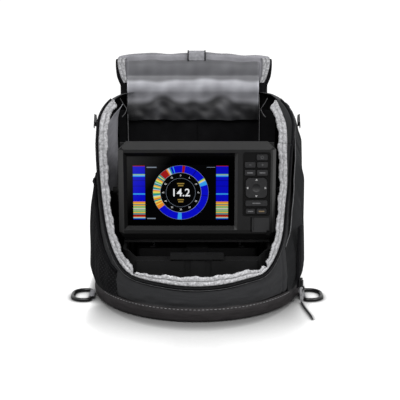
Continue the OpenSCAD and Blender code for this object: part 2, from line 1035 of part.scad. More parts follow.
module rear_cover() {
  w = cover_w / 2;
  color("#232427")
    in_unit()
      difference() {
        union() {
          translate([2 - unit_w / 2, rear_y, 2])
            cube([unit_w - 4, 3, unit_h - 4]);
          intersection() {
            linear_extrude(unit_h)
              polygon([[-w, rear_y], [w, rear_y], [w, rear_end - 10], [w - 10, rear_end], [-w + 10, rear_end],
                [-w, rear_end - 10]]);
            along_x(unit_w)
              polygon([[rear_y, 8], [rear_end - 8, 8], [rear_end, 16], [rear_end, unit_h - 20],
                [rear_end - 8, unit_h - 12], [rear_y, unit_h - 12]]);
          }
          // cooling ribs
          for (x = [-50:12.5:50])
            translate([x - 1, rear_end - 1, 52])
              cube([2, 4, unit_h - 74]);
        }
        difference() {
          intersection() {
            linear_extrude(unit_h)
              polygon([[-w + 2.5, rear_y - 1], [w - 2.5, rear_y - 1], [w - 2.5, rear_end - 11],
                [w - 11, rear_end - 2.5], [-w + 11, rear_end - 2.5], [-w + 2.5, rear_end - 11]]);
            along_x(unit_w)
              polygon([[rear_y - 1, 10.5], [rear_end - 9, 10.5], [rear_end - 2.5, 17], [rear_end - 2.5, unit_h - 21],
                [rear_end - 9, unit_h - 14.5], [rear_y - 1, unit_h - 14.5]]);
          }
          for (s = [-1, 1])
            translate([0, pivot_y, pivot_z])
              rotate([0, s * 90, 0])
                translate([0, 0, w - 10])
                  cylinder(r = 8, h = 10);
        }
        for (s = [-1, 1])
          translate([0, pivot_y, pivot_z])
            rotate([0, s * 90, 0])
              translate([0, 0, w - 9])
                cylinder(r = 4.5, h = 20);
        for (x = [-26, 14])
          translate([x, rear_end - 8, 30])
            rotate([-90, 0, 0])
              cylinder(r = x < 0 ? 8.1 : 10.1, h = 20);
        for (p = case_screws)
          translate([p[0], rear_y - 1, p[1]])
            rotate([-90, 0, 0])
              cylinder(r = 1.7, h = 20);
      }
}

module housing_gasket() {
  color("#0d0d0e")
    in_unit()
      translate([0, bezel_d + 0.05, 0])
        along_y(0.9)
          difference() {
            translate([7 - unit_w / 2, 8])
              rounded(unit_w - 14, unit_h - 17, 4);
            translate([10.5 - unit_w / 2, 11])
              rounded(unit_w - 21, unit_h - 23, 2);
          }
}

module housing_screws() {
  color("#909296")
    in_unit()
      for (p = case_screws)
        translate([p[0], rear_y + 3.05, p[1]])
          rotate([90, 0, 0]) {
            translate([0, 0, -0.2])
              cylinder(r = 1.2, h = 10);
            translate([0, 0, -2])
              difference() {
                cylinder(r = 2.4, h = 2);
                translate([0, 0, -1])
                  cylinder(r = 1.2, h = 2, $fn = 6);
              }
          }
}

module pivot_inserts() {
  color("#b59a4a")
    for (s = [-1, 1])
      on_pivot(s)
        translate([0, 0, cover_w / 2 - 8.9])
          difference() {
            cylinder(r = 4.45, h = 8.8);
            translate([0, 0, 1])
              cylinder(r = stud_r + run_fit, h = 20);
          }
}

module screen_lens() {
  color("#0a0b0d")
    in_unit()
      translate([0, 4.05, 0])
        along_y(1.5)
          translate([glass[0] - 1.8, glass[1] - 1.8])
            rounded(glass[2] + 3.6, glass[3] + 3.6, 2);
}

module lcd_panel() {
  color("#3c4048")
    in_unit()
      translate([glass[0] + 1.5, 5.8, glass[1] + 2])
        cube([116.5, 4.2, 75]);
}

module main_board() {
  y = rear_y + 6;
  color("#1f5136")
    in_unit()
      difference() {
        union() {
          translate([-cover_w / 2 + 2.8, y, 16])
            cube([cover_w - 5.6, 1.6, unit_h - 36]);
          translate([-30, y + 1.5, 40])
            cube([34, 2.5, 34]);
          translate([12, y + 1.5, 46])
            cube([22, 2, 22]);
          translate([-60, y + 1.5, 20])
            cube([16, 6, 12]);
        }
        for (x = [-62, 62])
          for (z = [20, unit_h - 24])
            translate([x, y - 1, z])
              rotate([-90, 0, 0])
                cylinder(r = 1.6, h = 5);
      }
}

// key switches on their own board
module keypad_board() {
  color("#23573b")
    in_unit() {
      translate([51, 8.4, 29])
        cube([32, 1.2, 72]);
      for (k = keys)
        translate([k[0] + k[2] / 2, 8.5, k[1] + k[3] / 2])
          rotate([90, 0, 0])
            cylinder(r = 2, h = 0.9);
      for (d = [[8, 0], [-8, 0], [0, 7.5], [0, -7.5]])
        translate([pad[0] + pad[2] / 2 + d[0], 8.5, pad[1] + pad[3] / 2 + d[1]])
          rotate([90, 0, 0])
            cylinder(r = 2, h = 0.7);
    }
}

module gps_antenna() {
  color("#c9b78e")
    in_unit()
      translate([38, rear_y + 7.7, unit_h - 44])
        cube([22, 4, 22]);
}

// memory card holder behind the door
module card_socket() {
  color("#a4a7ab")
    in_unit()
      translate([door[0] + 1.7, 6.2, door[1] + 4.2])
        difference() {
          cube([15, 7.6, 5.6]);
          translate([1.5, -1, 2])
            cube([12, 7.6, 1.4]);
        }
}

// card door, turning on the pin in its groove
door_y = 1.3;
module card_door() {
  color("#2e2f32")
    in_unit() {
      difference() {
        translate([door[0] + 0.6, 0.1, door[1]])
          cube([door[2] - 0.6, 2.2, door[3]]);
        translate([door[0] + door[2] - 3, -1, door[1] - 1])
          cube([5, 5, 3]);
      }
      translate([door[0] - 0.9, door_y, door[1]])
        cylinder(r = 1.1, h = door[3]);
      translate([door[0] - 0.9, door_y - 0.5, door[1]])
        cube([3, 1, door[3]]);
    }
}

// round cable sockets on the back
module rear_socket(x, r, bore) {
  color("#17181a")
    in_unit()
      translate([x, rear_end - 6.5, 30])
        rotate([-90, 0, 0])
          difference() {
            union() {
              cylinder(r = r, h = 16);
              translate([0, 0, 6.6])
                cylinder(r = r + 2, h = 3);
            }
            translate([0, 0, 5])
              cylinder(r = bore, h = 20);
          }
}

module power_socket() {
  rear_socket(-26, 8, 5.5);
}

module sonar_socket() {
  rear_socket(14, 10, 7.5);
}

// a key: cap above the field and a wider foot behind the plate
module key(i, tint) {
  color(tint)
    in_unit() {
      translate([0, -0.4, 0])
        along_y(5.8)
          key_shape(keys[i], 0);
      translate([0, 5.2, 0])
        along_y(1.2)
          key_shape(keys[i], 0.8);
    }
}

module power_key() {
  key(0, "#26272a");
}

module zoom_out_key() {
  key(1, "#26272a");
}

module zoom_in_key() {
  key(2, "#26272a");
}

module left_soft_key() {
  key(3, "#26272a");
}

module right_soft_key() {
  key(4, "#26272a");
}

module select_key() {
  key(5, "#26272a");
}

module back_key() {
  key(6, "#26272a");
}

module menu_key() {
  key(7, "#26272a");
}

// rubber post that the direction pad rocks on
module pad_pivot() {
  color("#1a1b1c")
    in_unit()
      translate([pad[0] + pad[2] / 2, 7.05, pad[1] + pad[3] / 2])
        rotate([-90, 0, 0])
          cylinder(r1 = 0.7, r2 = 2.4, h = 1.1);
}

module direction_pad() {
  cx = pad[0] + pad[2] / 2;
  cz = pad[1] + pad[3] / 2;
  color("#242528")
    in_unit()
      difference() {
        union() {
          translate([0, -0.6, 0])
            along_y(6.7)
              translate([pad[0], pad[1]])
                rounded(pad[2], pad[3], 5);
          translate([0, 6, 0])
            along_y(1)
              translate([pad[0] - 1, pad[1] - 1])
                rounded(pad[2] + 2, pad[3] + 2, 6);
        }
        translate([cx, -8.2, cz])
          sphere(9);
      }
}

front_panel();
left_panel();
right_panel();
back_panel();
bag_floor();
bag_lining();
mouth_trim();
mouth_zip();
side_gussets();
back_facing();
mesh_pocket();
side_pocket();
pocket_zip();
pocket_slider();
pull_grip();
pull_cord();
left_zip_slider();
right_zip_slider();
ring_tabs();
left_ring();
right_ring();
flap_standing();
flap_edging();
flap_pocket();
flap_tab();
flap_middle();
flap_front();
base_tray();
base_deck();
battery();
battery_strap();
bail_bracket();
base_screws();
tilt_washers();
left_knob();
right_knob();
front_bezel();
rear_cover();
housing_gasket();
housing_screws();
pivot_inserts();
screen_lens();
lcd_panel();
main_board();
keypad_board();
gps_antenna();
card_socket();
card_door();
power_socket();
sonar_socket();
power_key();
zoom_out_key();
zoom_in_key();
left_soft_key();
right_soft_key();
pad_pivot();
direction_pad();
select_key();
back_key();
menu_key();
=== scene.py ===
# %% [markdown]
# # A portable fish finder in its carry bag
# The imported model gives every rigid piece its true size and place. This lesson dresses it: first the
# camera and the cord, then the sewn bag as numpy surfaces, then the display with its screen and keys.
# Lengths in the code are millimetres until the last moment, because the real bag is cut in millimetres.

# %% Load the frame
import math
import bpy
import numpy as np
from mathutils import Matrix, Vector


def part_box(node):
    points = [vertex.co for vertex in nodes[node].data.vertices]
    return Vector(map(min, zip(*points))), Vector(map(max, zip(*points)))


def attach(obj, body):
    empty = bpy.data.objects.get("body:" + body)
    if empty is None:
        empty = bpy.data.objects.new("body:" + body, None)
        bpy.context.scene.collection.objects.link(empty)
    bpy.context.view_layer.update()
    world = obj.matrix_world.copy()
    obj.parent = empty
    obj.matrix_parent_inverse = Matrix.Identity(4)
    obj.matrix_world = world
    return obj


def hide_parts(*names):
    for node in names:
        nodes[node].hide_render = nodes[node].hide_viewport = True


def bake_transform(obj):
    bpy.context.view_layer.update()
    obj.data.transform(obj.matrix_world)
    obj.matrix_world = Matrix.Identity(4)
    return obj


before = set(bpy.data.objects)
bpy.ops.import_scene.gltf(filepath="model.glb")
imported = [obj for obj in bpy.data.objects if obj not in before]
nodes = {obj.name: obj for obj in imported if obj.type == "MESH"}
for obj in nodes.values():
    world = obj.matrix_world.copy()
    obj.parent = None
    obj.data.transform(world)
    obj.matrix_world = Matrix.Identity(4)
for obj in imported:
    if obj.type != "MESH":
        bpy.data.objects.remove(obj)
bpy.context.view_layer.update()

MM = 0.001

# %% [markdown]
# ## Camera
# The distance and the field of view come from the screen's known size and from how the base's half ellipse
# flattens.

# %% Camera
def look_from(elevation, place, field):
    """A camera that faces +Y, tipped down by the elevation, with that field of view in degrees."""
    data = bpy.data.cameras.new("photo_camera")
    data.angle = math.radians(field)
    data.clip_end = 50
    cam = bpy.data.objects.new("photo_camera", data)
    cam.location = [c * MM for c in place]
    cam.rotation_euler = (math.radians(90 - elevation), 0, 0)
    bpy.context.scene.collection.objects.link(cam)
    bpy.context.scene.camera = cam
    return cam

camera = look_from(14, (3.4, -1238.7, 424.4), 20.41)
bpy.context.scene.view_settings.view_transform = "Standard"
print("camera at", tuple(round(c, 3) for c in camera.location))

# %% [markdown]
# ## Helpers for shaders
# A shader is a small net of nodes. One function adds a node and wires its inputs, and three more give the nodes
# that come up again and again: a sum or product, a stretch from one range to another, and a mix of two colours.

# %% Shader helpers
def add_node(tree, kind, inputs=(), **settings):
    """A node of a kind with its settings; each of its inputs is a value or another node's output."""
    made = tree.nodes.new("ShaderNode" + kind)
    for key, value in settings.items():
        setattr(made, key, value)
    for key, value in dict(inputs).items():
        if isinstance(value, bpy.types.NodeSocket):
            tree.links.new(value, made.inputs[key])
        else:
            made.inputs[key].default_value = value
    return made

def maths(tree, how, first, second=0.0, clamp=False):
    """One operation on one or two numbers."""
    return add_node(tree, "Math", {0: first, 1: second}, operation=how, use_clamp=clamp).outputs[0]

def mapped(tree, value, low, high, to_low, to_high):
    """A number carried in a straight line from one range to another, and held at its ends."""
    return add_node(tree, "MapRange", {0: value, 1: low, 2: high, 3: to_low, 4: to_high}).outputs[0]

def mixed(tree, share, first, second, how="MIX"):
    """Two colours mixed: all first at share 0, all second at share 1."""
    return add_node(tree, "Mix", {0: share, 6: first, 7: second}, data_type="RGBA", blend_type=how).outputs[2]

def by_axis(tree):
    """The three coordinates of a point, in metres."""
    return add_node(tree, "SeparateXYZ", {0: add_node(tree, "TexCoord").outputs["Object"]}).outputs

def new_material(name):
    """A material with nodes, its net of nodes and its main shader."""
    mat = bpy.data.materials.new(name)
    mat.use_nodes = True
    return mat, mat.node_tree, mat.node_tree.nodes["Principled BSDF"]

def recolour(tree, shader, colour):
    """Leads a colour into the main shader."""
    tree.links.new(colour, shader.inputs["Base Color"])

def colour_of(shader):
    """The colour that now leads into the main shader."""
    return shader.inputs["Base Color"].links[0].from_socket

print("shader helpers ready")

# %% [markdown]
# ## Floor and light
# A catalogue photo stands on white paper under broad soft light. The paper is a diffuse floor that also glows a
# little for camera rays only, so it stays white while the soft shadow under the bag still shows.

# %% Paper floor
def paper_floor(size):
    """A flat square: a diffuse grey plus a camera-only glow that fades near the bag as a painted shadow, furthest in
    front.

    The glow is the product of two open-sky shares, each raised to a power: one short and deep, one long and faint."""
    mesh = bpy.data.meshes.new("paper_floor")
    h = size / 2
    mesh.from_pydata([(-h, -h, 0), (h, -h, 0), (h, h, 0), (-h, h, 0)], [], [(0, 1, 2, 3)])
    floor = bpy.data.objects.new("paper_floor", mesh)
    bpy.context.scene.collection.objects.link(floor)
    mat, tree, _ = new_material("white_paper")
    tree.nodes.clear()
    x, y, _ = by_axis(tree)
    # Painted shadow: the reach of the fading glow, longest in front of the bag and shortest at its sides.
    reach = maths(tree, "MULTIPLY", mapped(tree, y, -0.09, -0.03, 1.0, 0.22),
                  mapped(tree, maths(tree, "ABSOLUTE", x), 0.02, 0.14, 1.0, 0.22))
    glow = add_node(tree, "LightPath").outputs["Is Camera Ray"]
    for far, power in ((0.025, 6.2), (0.2, 3.6)):
        near = add_node(tree, "AmbientOcclusion", {"Distance": maths(tree, "MULTIPLY", reach, far)}, samples=16)
        glow = maths(tree, "MULTIPLY", maths(tree, "POWER", near.outputs["AO"], power), glow)
    paper = add_node(tree, "BsdfDiffuse", {"Color": (0.2, 0.2, 0.2, 1)})
    light = add_node(tree, "Emission", {"Strength": glow})
    both = add_node(tree, "AddShader", {0: paper.outputs[0], 1: light.outputs[0]})
    add_node(tree, "OutputMaterial", {"Surface": both.outputs[0]})
    mesh.materials.append(mat)
    return floor

floor = paper_floor(12)
print("floor:", floor.name)

# %% Lamps and room
def soft_box(name, place, aim, size, power):
    """A square lamp at a place, turned to face the aim point."""
    data = bpy.data.lights.new(name, "AREA")
    data.shape = "SQUARE"
    data.size = size
    data.energy = power
    lamp = bpy.data.objects.new(name, data)
    lamp.location = place
    d = np.array(aim, float) - np.array(place, float)
    lamp.rotation_euler = (math.atan2(np.hypot(d[0], d[1]), -d[2]), 0, math.atan2(d[1], d[0]) - math.pi / 2)
    bpy.context.scene.collection.objects.link(lamp)
    return lamp

def white_room(level):
    """A world that is white where the camera, a mirror or glass sees it, and a given level elsewhere."""
    world = bpy.data.worlds.new("white_room")
    bpy.context.scene.world = world
    world.use_nodes = True
    tree = world.node_tree
    back = tree.nodes["Background"]
    back.inputs["Color"].default_value = (1, 1, 1, 1)
    rays = add_node(tree, "LightPath").outputs
    seen = maths(tree, "MAXIMUM", maths(tree, "MAXIMUM", rays["Is Camera Ray"], rays["Is Transmission Ray"]),
                 rays["Is Glossy Ray"])
    tree.links.new(mapped(tree, seen, 0.0, 1.0, level, 1.0), back.inputs["Strength"])

white_room(0.42)
key = soft_box("key_light", (-0.5, -1.1, 1.6), (0, 0, 0.1), 1.1, 23)
fill = soft_box("fill_light", (1.0, -0.9, 0.9), (0, 0, 0.12), 0.9, 12)
top = soft_box("top_light", (0, 0.35, 1.5), (0, 0, 0.15), 1.0, 4)
print("lamps:", key.name, fill.name, top.name)

# %% [markdown]
# ## Helpers for surfaces
# Every sewn piece is a grid of points: one number runs along it, the other across it. The helpers turn such an
# array into a mesh of quads in one go, with a UV map in metres, so that weave has the same pitch everywhere.

# %% Surface helpers
def put(name, points, faces, body, finish, loop_uv=None, smooth=True):
    """A mesh object from points in millimetres (n, 3) and quads (m, 4), riding on a body."""
    mesh = bpy.data.meshes.new(name)
    faces = np.ascontiguousarray(faces, dtype=np.int32)
    mesh.vertices.add(len(points))
    mesh.vertices.foreach_set("co", (np.asarray(points, dtype=np.float64) * MM).astype(np.float32).ravel())
    mesh.loops.add(faces.size)
    mesh.loops.foreach_set("vertex_index", faces.ravel())
    mesh.polygons.add(len(faces))
    mesh.polygons.foreach_set("loop_start", np.arange(0, faces.size, faces.shape[1], dtype=np.int32))
    if loop_uv is not None:
        layer = mesh.uv_layers.new(name="cloth")
        layer.uv.foreach_set("vector", np.ascontiguousarray(loop_uv, dtype=np.float32).ravel())
    mesh.polygons.foreach_set("use_smooth", np.full(len(faces), smooth))
    mesh.update(calc_edges=True)
    mesh.materials.append(finish)
    obj = bpy.data.objects.new(name, mesh)
    bpy.context.scene.collection.objects.link(obj)
    if body:
        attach(obj, body)
    return obj

def grid_faces(nu, nv, wrap_u=False, wrap_v=False, flip=False):
    """Quads over an nu by nv grid, and for each corner its unwrapped row and column."""
    a, b = np.meshgrid(np.arange(nu if wrap_u else nu - 1), np.arange(nv if wrap_v else nv - 1), indexing="ij")
    rows = np.stack([a, a + 1, a + 1, a], -1).reshape(-1, 4)
    cols = np.stack([b, b, b + 1, b + 1], -1).reshape(-1, 4)
    if flip:
        rows, cols = rows[:, ::-1], cols[:, ::-1]
    return (rows % nu) * nv + (cols % nv), rows, cols

def surface(name, grid, body, finish, u=None, v=None, wrap_u=False, wrap_v=False, flip=False):
    """A grid of points (nu, nv, 3) as one mesh; u and v are the cloth's own lengths in millimetres."""
    nu, nv = grid.shape[:2]
    faces, rows, cols = grid_faces(nu, nv, wrap_u, wrap_v, flip)
    uv = None
    if u is not None:
        uv = np.stack([np.asarray(u)[rows], np.asarray(v)[cols]], -1) * MM
    return put(name, grid.reshape(-1, 3), faces, body, finish, uv)

print("surface helpers ready")

# %% [markdown]
# ## Finishes
# Cloth, coated cloth, moulded plastic and glass differ mostly in roughness, sheen and fine relief. One maker
# function lays these down: a base colour with uneven patches, a weave from two crossed waves on the cloth's own
# UV, and a fine grain. Constants stay on the shader's own sockets.

# %% Finish maker
def finish(name, colour, roughness, patches=None, weave=None, grain=None, on_uv=False, shine=0.12, **sockets):
    """A shader with colour patches (size mm, amount), weave (pitch mm, depth mm) and grain (size mm, depth mm)."""
    mat, tree, shader = new_material(name)
    shader.inputs["Base Color"].default_value = (*colour, 1)
    shader.inputs["Roughness"].default_value = roughness
    shader.inputs["Specular IOR Level"].default_value = shine
    for key, value in sockets.items():
        shader.inputs[key.replace("_", " ").title()].default_value = value
    where = add_node(tree, "TexCoord").outputs
    spot = where["UV" if on_uv else "Object"]
    normal = None
    if patches:
        size, amount = patches
        cloud = add_node(tree, "TexNoise", {"Vector": spot, "Scale": 1 / (size * MM), "Detail": 4}).outputs["Fac"]
        dark, pale = [(*[min(c * k, 1) for c in colour], 1) for k in (1 - amount, 1 + amount)]
        recolour(tree, shader, mixed(tree, mapped(tree, cloud, 0.3, 0.7, 0.0, 1.0), dark, pale))
    if weave:
        pitch, depth = weave
        bands = [add_node(tree, "TexWave", {"Vector": where["UV"], "Scale": 2 * math.pi / (20 * pitch * MM),
                                            "Distortion": 0.6}, bands_direction=way).outputs["Fac"] for way in "XY"]
        normal = relief(tree, maths(tree, "MULTIPLY", *bands), depth, normal)
    if grain:
        size, depth = grain
        fine = add_node(tree, "TexNoise", {"Vector": spot, "Scale": 1 / (size * MM), "Detail": 3}).outputs["Fac"]
        normal = relief(tree, fine, depth, normal)
    if normal:
        tree.links.new(normal, shader.inputs["Normal"])
    return mat

def relief(tree, height, depth, before):
    """A bump of a given depth in millimetres, laid over an earlier bump if there is one."""
    inputs = {"Strength": 1.0, "Distance": depth * MM, "Height": height}
    if before:
        inputs["Normal"] = before
    return add_node(tree, "Bump", inputs).outputs["Normal"]

print("finish maker ready")

# %% [markdown]
# ## Tones, tints and glare
# Three changes to a finish that is already made. A tone is a brightness stored at the points, for painted light and
# shade on cloth and for cloth of two faces or with holes. A tint is another grey inside a box, for painted light and
# shade on a moulding. The glare is a painted reflection: the pale veil that a bright room leaves on glass. Each one
# is a few more nodes in front of the base colour.

# %% Tones, tints and glare
BARE_GLASS = 0.0008

def toned(mat):
    """Multiplies a finish's base colour by the tone stored at the points."""
    tree, shader = mat.node_tree, mat.node_tree.nodes["Principled BSDF"]
    tone = add_node(tree, "Attribute", attribute_name="tone").outputs["Color"]
    recolour(tree, shader, mixed(tree, 1.0, colour_of(shader), tone, "MULTIPLY"))
    return mat

def painted_in_boxes(mat, boxes):
    """Paints light and shade on parts of a moulding: inside each box (low corner, high corner in mm) the base colour is
    another grey.

    A point is inside where the largest of |point - middle| / half size, taken axis by axis, is under one."""
    tree, shader = mat.node_tree, mat.node_tree.nodes["Principled BSDF"]
    where = add_node(tree, "TexCoord").outputs["Object"]
    for low, high, grey in boxes:
        low, high = np.array(low) * MM, np.array(high) * MM
        off = add_node(tree, "VectorMath", {0: where, 1: (low + high) / 2}, operation="SUBTRACT").outputs[0]
        off = add_node(tree, "VectorMath", {0: off}, operation="ABSOLUTE").outputs[0]
        off = add_node(tree, "VectorMath", {0: off, 1: (high - low) / 2}, operation="DIVIDE").outputs[0]
        x, y, z = add_node(tree, "SeparateXYZ", {0: off}).outputs
        inside = maths(tree, "LESS_THAN", maths(tree, "MAXIMUM", maths(tree, "MAXIMUM", x, y), z), 1.0)
        recolour(tree, shader, mixed(tree, inside, colour_of(shader), (grey, grey, grey, 1)))
    return mat

def glared(mat, corner, reach, amount):
    """A painted reflection: a pale veil on glass, full at one corner (x, z) in mm and gone after the reach to the right
    and down.
    """
    tree, shader = mat.node_tree, mat.node_tree.nodes["Principled BSDF"]
    x, _, z = by_axis(tree)
    across = mapped(tree, x, corner[0] * MM, (corner[0] + reach[0]) * MM, 0.0, amount)
    down = mapped(tree, z, corner[1] * MM, (corner[1] - reach[1]) * MM, 0.0, amount)
    veil = maths(tree, "SUBTRACT", amount + BARE_GLASS, maths(tree, "ADD", across, down), clamp=True)
    recolour(tree, shader, veil)
    return mat

print("tones, tints and glare ready")

# %% [markdown]
# ## Finishes of this kit
# The numbers are a colour, a roughness, then the patches and the relief in millimetres. One colour per piece would
# look like a toy, because real cloth is never one even grey, so each finish but the glass has patches. The bezel is
# one moulding. Boxes in space paint other greys on it, so its mesh stays whole: painted shade in the window's
# recess, on the chin band and over the keypad field, and painted highlights on the right inner slope and the sides.

# %% Cloth finishes
before = len(bpy.data.materials)
bag_cloth = finish("charcoal_cloth", (0.034, 0.0345, 0.0368), 0.8, (28, 0.16), (1.1, 0.10), on_uv=True,
                   sheen_weight=0.06)
side_cloth = finish("side_cloth", (0.015, 0.0155, 0.0165), 0.8, (26, 0.2), (1.1, 0.10), on_uv=True, sheen_weight=0.05)
boot_cloth = finish("coated_boot", (0.0270, 0.0245, 0.0255), 0.5, (14, 0.25), grain=(1.0, 0.10), on_uv=True, shine=0.2)
black_cloth = finish("black_lining", (0.0045, 0.0045, 0.005), 0.85, (20, 0.3), (1.0, 0.08), on_uv=True, shine=0.05)
grey_lining = finish("grey_lining", (0.26, 0.258, 0.28), 0.6, (18, 0.2), (0.8, 0.06), on_uv=True)
trim_cloth = toned(finish("heather_trim", (0.48, 0.48, 0.495), 0.9, (3.4, 0.45), (0.9, 0.10), on_uv=True))
satin_cloth = finish("satin_lining", (0.322, 0.324, 0.352), 0.42, (22, 0.10), (0.7, 0.02), on_uv=True, shine=0.4)
flap_cloth = toned(finish("flap_cloth", (0.245, 0.243, 0.264), 0.65, (16, 0.14), (1.0, 0.10), on_uv=True))
mesh_cloth = toned(finish("pocket_mesh", (0.0030, 0.0030, 0.0034), 0.75, (5, 0.4), (2.2, 0.5), on_uv=True))
zip_cloth = finish("zip_tape", (0.008, 0.008, 0.009), 0.85, (8, 0.2), (0.8, 0.1), on_uv=True, shine=0.02)
coil_plastic = finish("zip_coil", (0.013, 0.013, 0.014), 0.7, (3, 0.2), grain=(0.5, 0.03), shine=0.08)
piping_cloth = finish("grey_piping", (0.13, 0.13, 0.135), 0.75, (3, 0.3), (0.6, 0.05), on_uv=True)
thread = finish("grey_thread", (0.22, 0.22, 0.225), 0.75, (2, 0.25), grain=(0.4, 0.05))
webbing = finish("grey_webbing", (0.25, 0.25, 0.268), 0.75, (4, 0.2), (1.6, 0.25), on_uv=True)
dark_webbing = finish("dark_webbing", (0.0035, 0.0035, 0.0038), 0.75, (4, 0.2), (1.6, 0.25), on_uv=True)
cord_cloth = finish("cord_cover", (0.030, 0.030, 0.032), 0.6, (2, 0.3), (0.9, 0.12), on_uv=True)
print("cloth finishes:", len(bpy.data.materials) - before)

# %% Hard finishes
before = len(bpy.data.materials)
PAINTED_GLARE = ((-79, 170), (52, 66), 0.024)
MOULDED = dict(patches=(40, 0.12), grain=(0.45, 0.035), shine=0.13)
TURNED = dict(patches=(2, 0.15), grain=(0.4, 0.02))
PRINTED = dict(patches=(1.5, 0.1), grain=(0.3, 0.01))
grip_rubber = finish("grip_rubber", (0.34, 0.34, 0.35), 0.6, (3, 0.25), grain=(0.6, 0.05), shine=0.3)
housing = finish("housing_plastic", (0.0165, 0.0165, 0.0168), 0.45, **MOULDED)
# Painted light on the bezel: shade in the window's recess, on the chin and over the keypad field; highlights on the
# right inner slope and the outer sides.
bezel_plastic = painted_in_boxes(finish("bezel_plastic", (0.0165, 0.0165, 0.0168), 0.45, **MOULDED), [
    ((-82.4, -22.3, 86.1), (42.4, -18.0, 175.3), 0.003), ((42.4, -22.3, 86.1), (46.0, -18.0, 175.3), 0.05),
    ((-90, -22.6, 73), (90, -16.0, 85.9), 0.0095), ((-90, -22.6, 82), (-82.6, -13, 178), 0.056),
    ((82.6, -22.4, 82), (90, -13, 178), 0.030), ((85.2, -22.4, 82), (90, -13, 178), 0.080),
    ((51.3, -22.4, 101.8), (82.7, -20.0, 176.2), 0.0045)])
door_plastic = finish("door_plastic", (0.032, 0.032, 0.033), 0.45, **MOULDED)
base_plastic = finish("base_plastic", (0.0080, 0.0080, 0.0083), 0.45, (30, 0.2), grain=(0.8, 0.05), shine=0.25)
# Paler than the housing: painted light on the bail and the deck, which sit in shade under the display.
bail_plastic = finish("bail_plastic", (0.026, 0.026, 0.027), 0.45, (30, 0.2), grain=(0.6, 0.05), shine=0.25)
ring_plastic = finish("ring_plastic", (0.010, 0.010, 0.0105), 0.32, (8, 0.2), grain=(1.2, 0.02), shine=0.4)
key_rubber = finish("key_rubber", (0.021, 0.021, 0.022), 0.5, (6, 0.15), grain=(0.4, 0.02), shine=0.25)
slider_metal = finish("slider_metal", (0.010, 0.010, 0.011), 0.35, (4, 0.2), grain=(0.8, 0.02), shine=0.4)
# The glass's base colour carries a painted reflection: a pale glare at its upper left.
lens_glass = glared(finish("screen_glass", (0.001, 0.001, 0.001), 0.12, shine=0.02), *PAINTED_GLARE)
steel = finish("screw_steel", (0.55, 0.55, 0.56), 0.32, shine=0.5, metallic=1.0, **TURNED)
black_steel = finish("black_steel", (0.030, 0.030, 0.032), 0.5, shine=0.2, metallic=0.6, **TURNED)
brass = finish("insert_brass", (0.62, 0.44, 0.19), 0.35, shine=0.5, metallic=1.0, **TURNED)
board_green = finish("board_green", (0.02, 0.08, 0.045), 0.4, (5, 0.3), grain=(1.5, 0.03), shine=0.4)
ceramic = finish("antenna_ceramic", (0.5, 0.43, 0.28), 0.6, (3, 0.1), grain=(0.5, 0.02), shine=0.4)
seal_rubber = finish("seal_rubber", (0.008, 0.008, 0.008), 0.7, (4, 0.2), grain=(0.5, 0.02))
battery_case = finish("battery_case", (0.0022, 0.0022, 0.0024), 0.45, (30, 0.15), grain=(0.7, 0.04), shine=0.3)
sign_white = finish("sign_white", (0.42, 0.42, 0.42), 0.6, **PRINTED)
sign_grey = finish("sign_grey", (0.14, 0.14, 0.145), 0.6, **PRINTED)
sign_tan = finish("sign_tan", (0.22, 0.16, 0.09), 0.6, **PRINTED)
print("hard finishes:", len(bpy.data.materials) - before)

# %% [markdown]
# ## Rigid pieces
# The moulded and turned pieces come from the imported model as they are. Each one only needs its finish.

# %% Dress the rigid pieces
rigid = {
    bezel_plastic: ["front_bezel"],
    housing: ["rear_cover"],
    door_plastic: ["card_door"],
    base_plastic: ["base_tray", "power_socket", "sonar_socket"],
    bail_plastic: ["bail_bracket", "base_deck"],
    ring_plastic: ["left_ring", "right_ring"],
    key_rubber: ["power_key", "zoom_out_key", "zoom_in_key", "left_soft_key", "right_soft_key", "select_key",
                 "back_key", "menu_key", "direction_pad", "pad_pivot"],
    slider_metal: ["pocket_slider", "left_zip_slider", "right_zip_slider"],
    lens_glass: ["screen_lens"],
    steel: ["housing_screws", "card_socket"],
    black_steel: ["base_screws"],
    brass: ["pivot_inserts"],
    board_green: ["main_board", "keypad_board"],
    ceramic: ["gps_antenna"],
    seal_rubber: ["housing_gasket", "tilt_washers", "left_knob", "right_knob"],
    battery_case: ["battery", "lcd_panel"],
    dark_webbing: ["battery_strap"],
    grip_rubber: ["pull_grip"],
}
for look, names in rigid.items():
    for n in names:
        nodes[n].data.materials.clear()
        nodes[n].data.materials.append(look)
print("dressed:", sum(len(v) for v in rigid.values()))

# %% [markdown]
# ## Cord
# The pocket slider's grip ends in a thin tail that lies on the floor. A curve with a bevel would give it too. Rings
# of points are used instead, because the same helpers then make the zip's coil and every piping. It follows the
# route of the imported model, thick at the grip and thin at its tip.

# %% Path helpers
def unit(a):
    """Each vector in an array, scaled to length one."""
    return a / np.maximum(np.linalg.norm(a, axis=-1, keepdims=True), 1e-9)

def run_length(points):
    """Length along a path at each of its points."""
    return np.r_[0, np.cumsum(np.linalg.norm(np.diff(points, axis=0), axis=1))]

def at_lengths(t, d, values):
    """Vectors known at the lengths d, read off at other lengths t."""
    return np.stack([np.interp(t, d, values[:, k]) for k in range(3)], 1)

def smoothed(values, reach, **ends):
    """Each vector replaced by the mean of those up to a reach away, with the ends carried on as told."""
    share = np.ones(2 * reach + 1) / (2 * reach + 1)
    return np.stack([np.convolve(np.pad(values[:, k], reach, **ends), share, "valid") for k in range(3)], 1)

def rings_about(path, side, up, radius, sides):
    """Rings about a path: centre + r * (cos a * side + sin a * up)."""
    a = np.linspace(0, 2 * math.pi, sides, endpoint=False)
    r = np.broadcast_to(np.asarray(radius, float), (len(path),))[:, None, None]
    ring = np.cos(a)[None, :, None] * side[:, None, :] + np.sin(a)[None, :, None] * up[:, None, :]
    return path[:, None, :] + r * ring

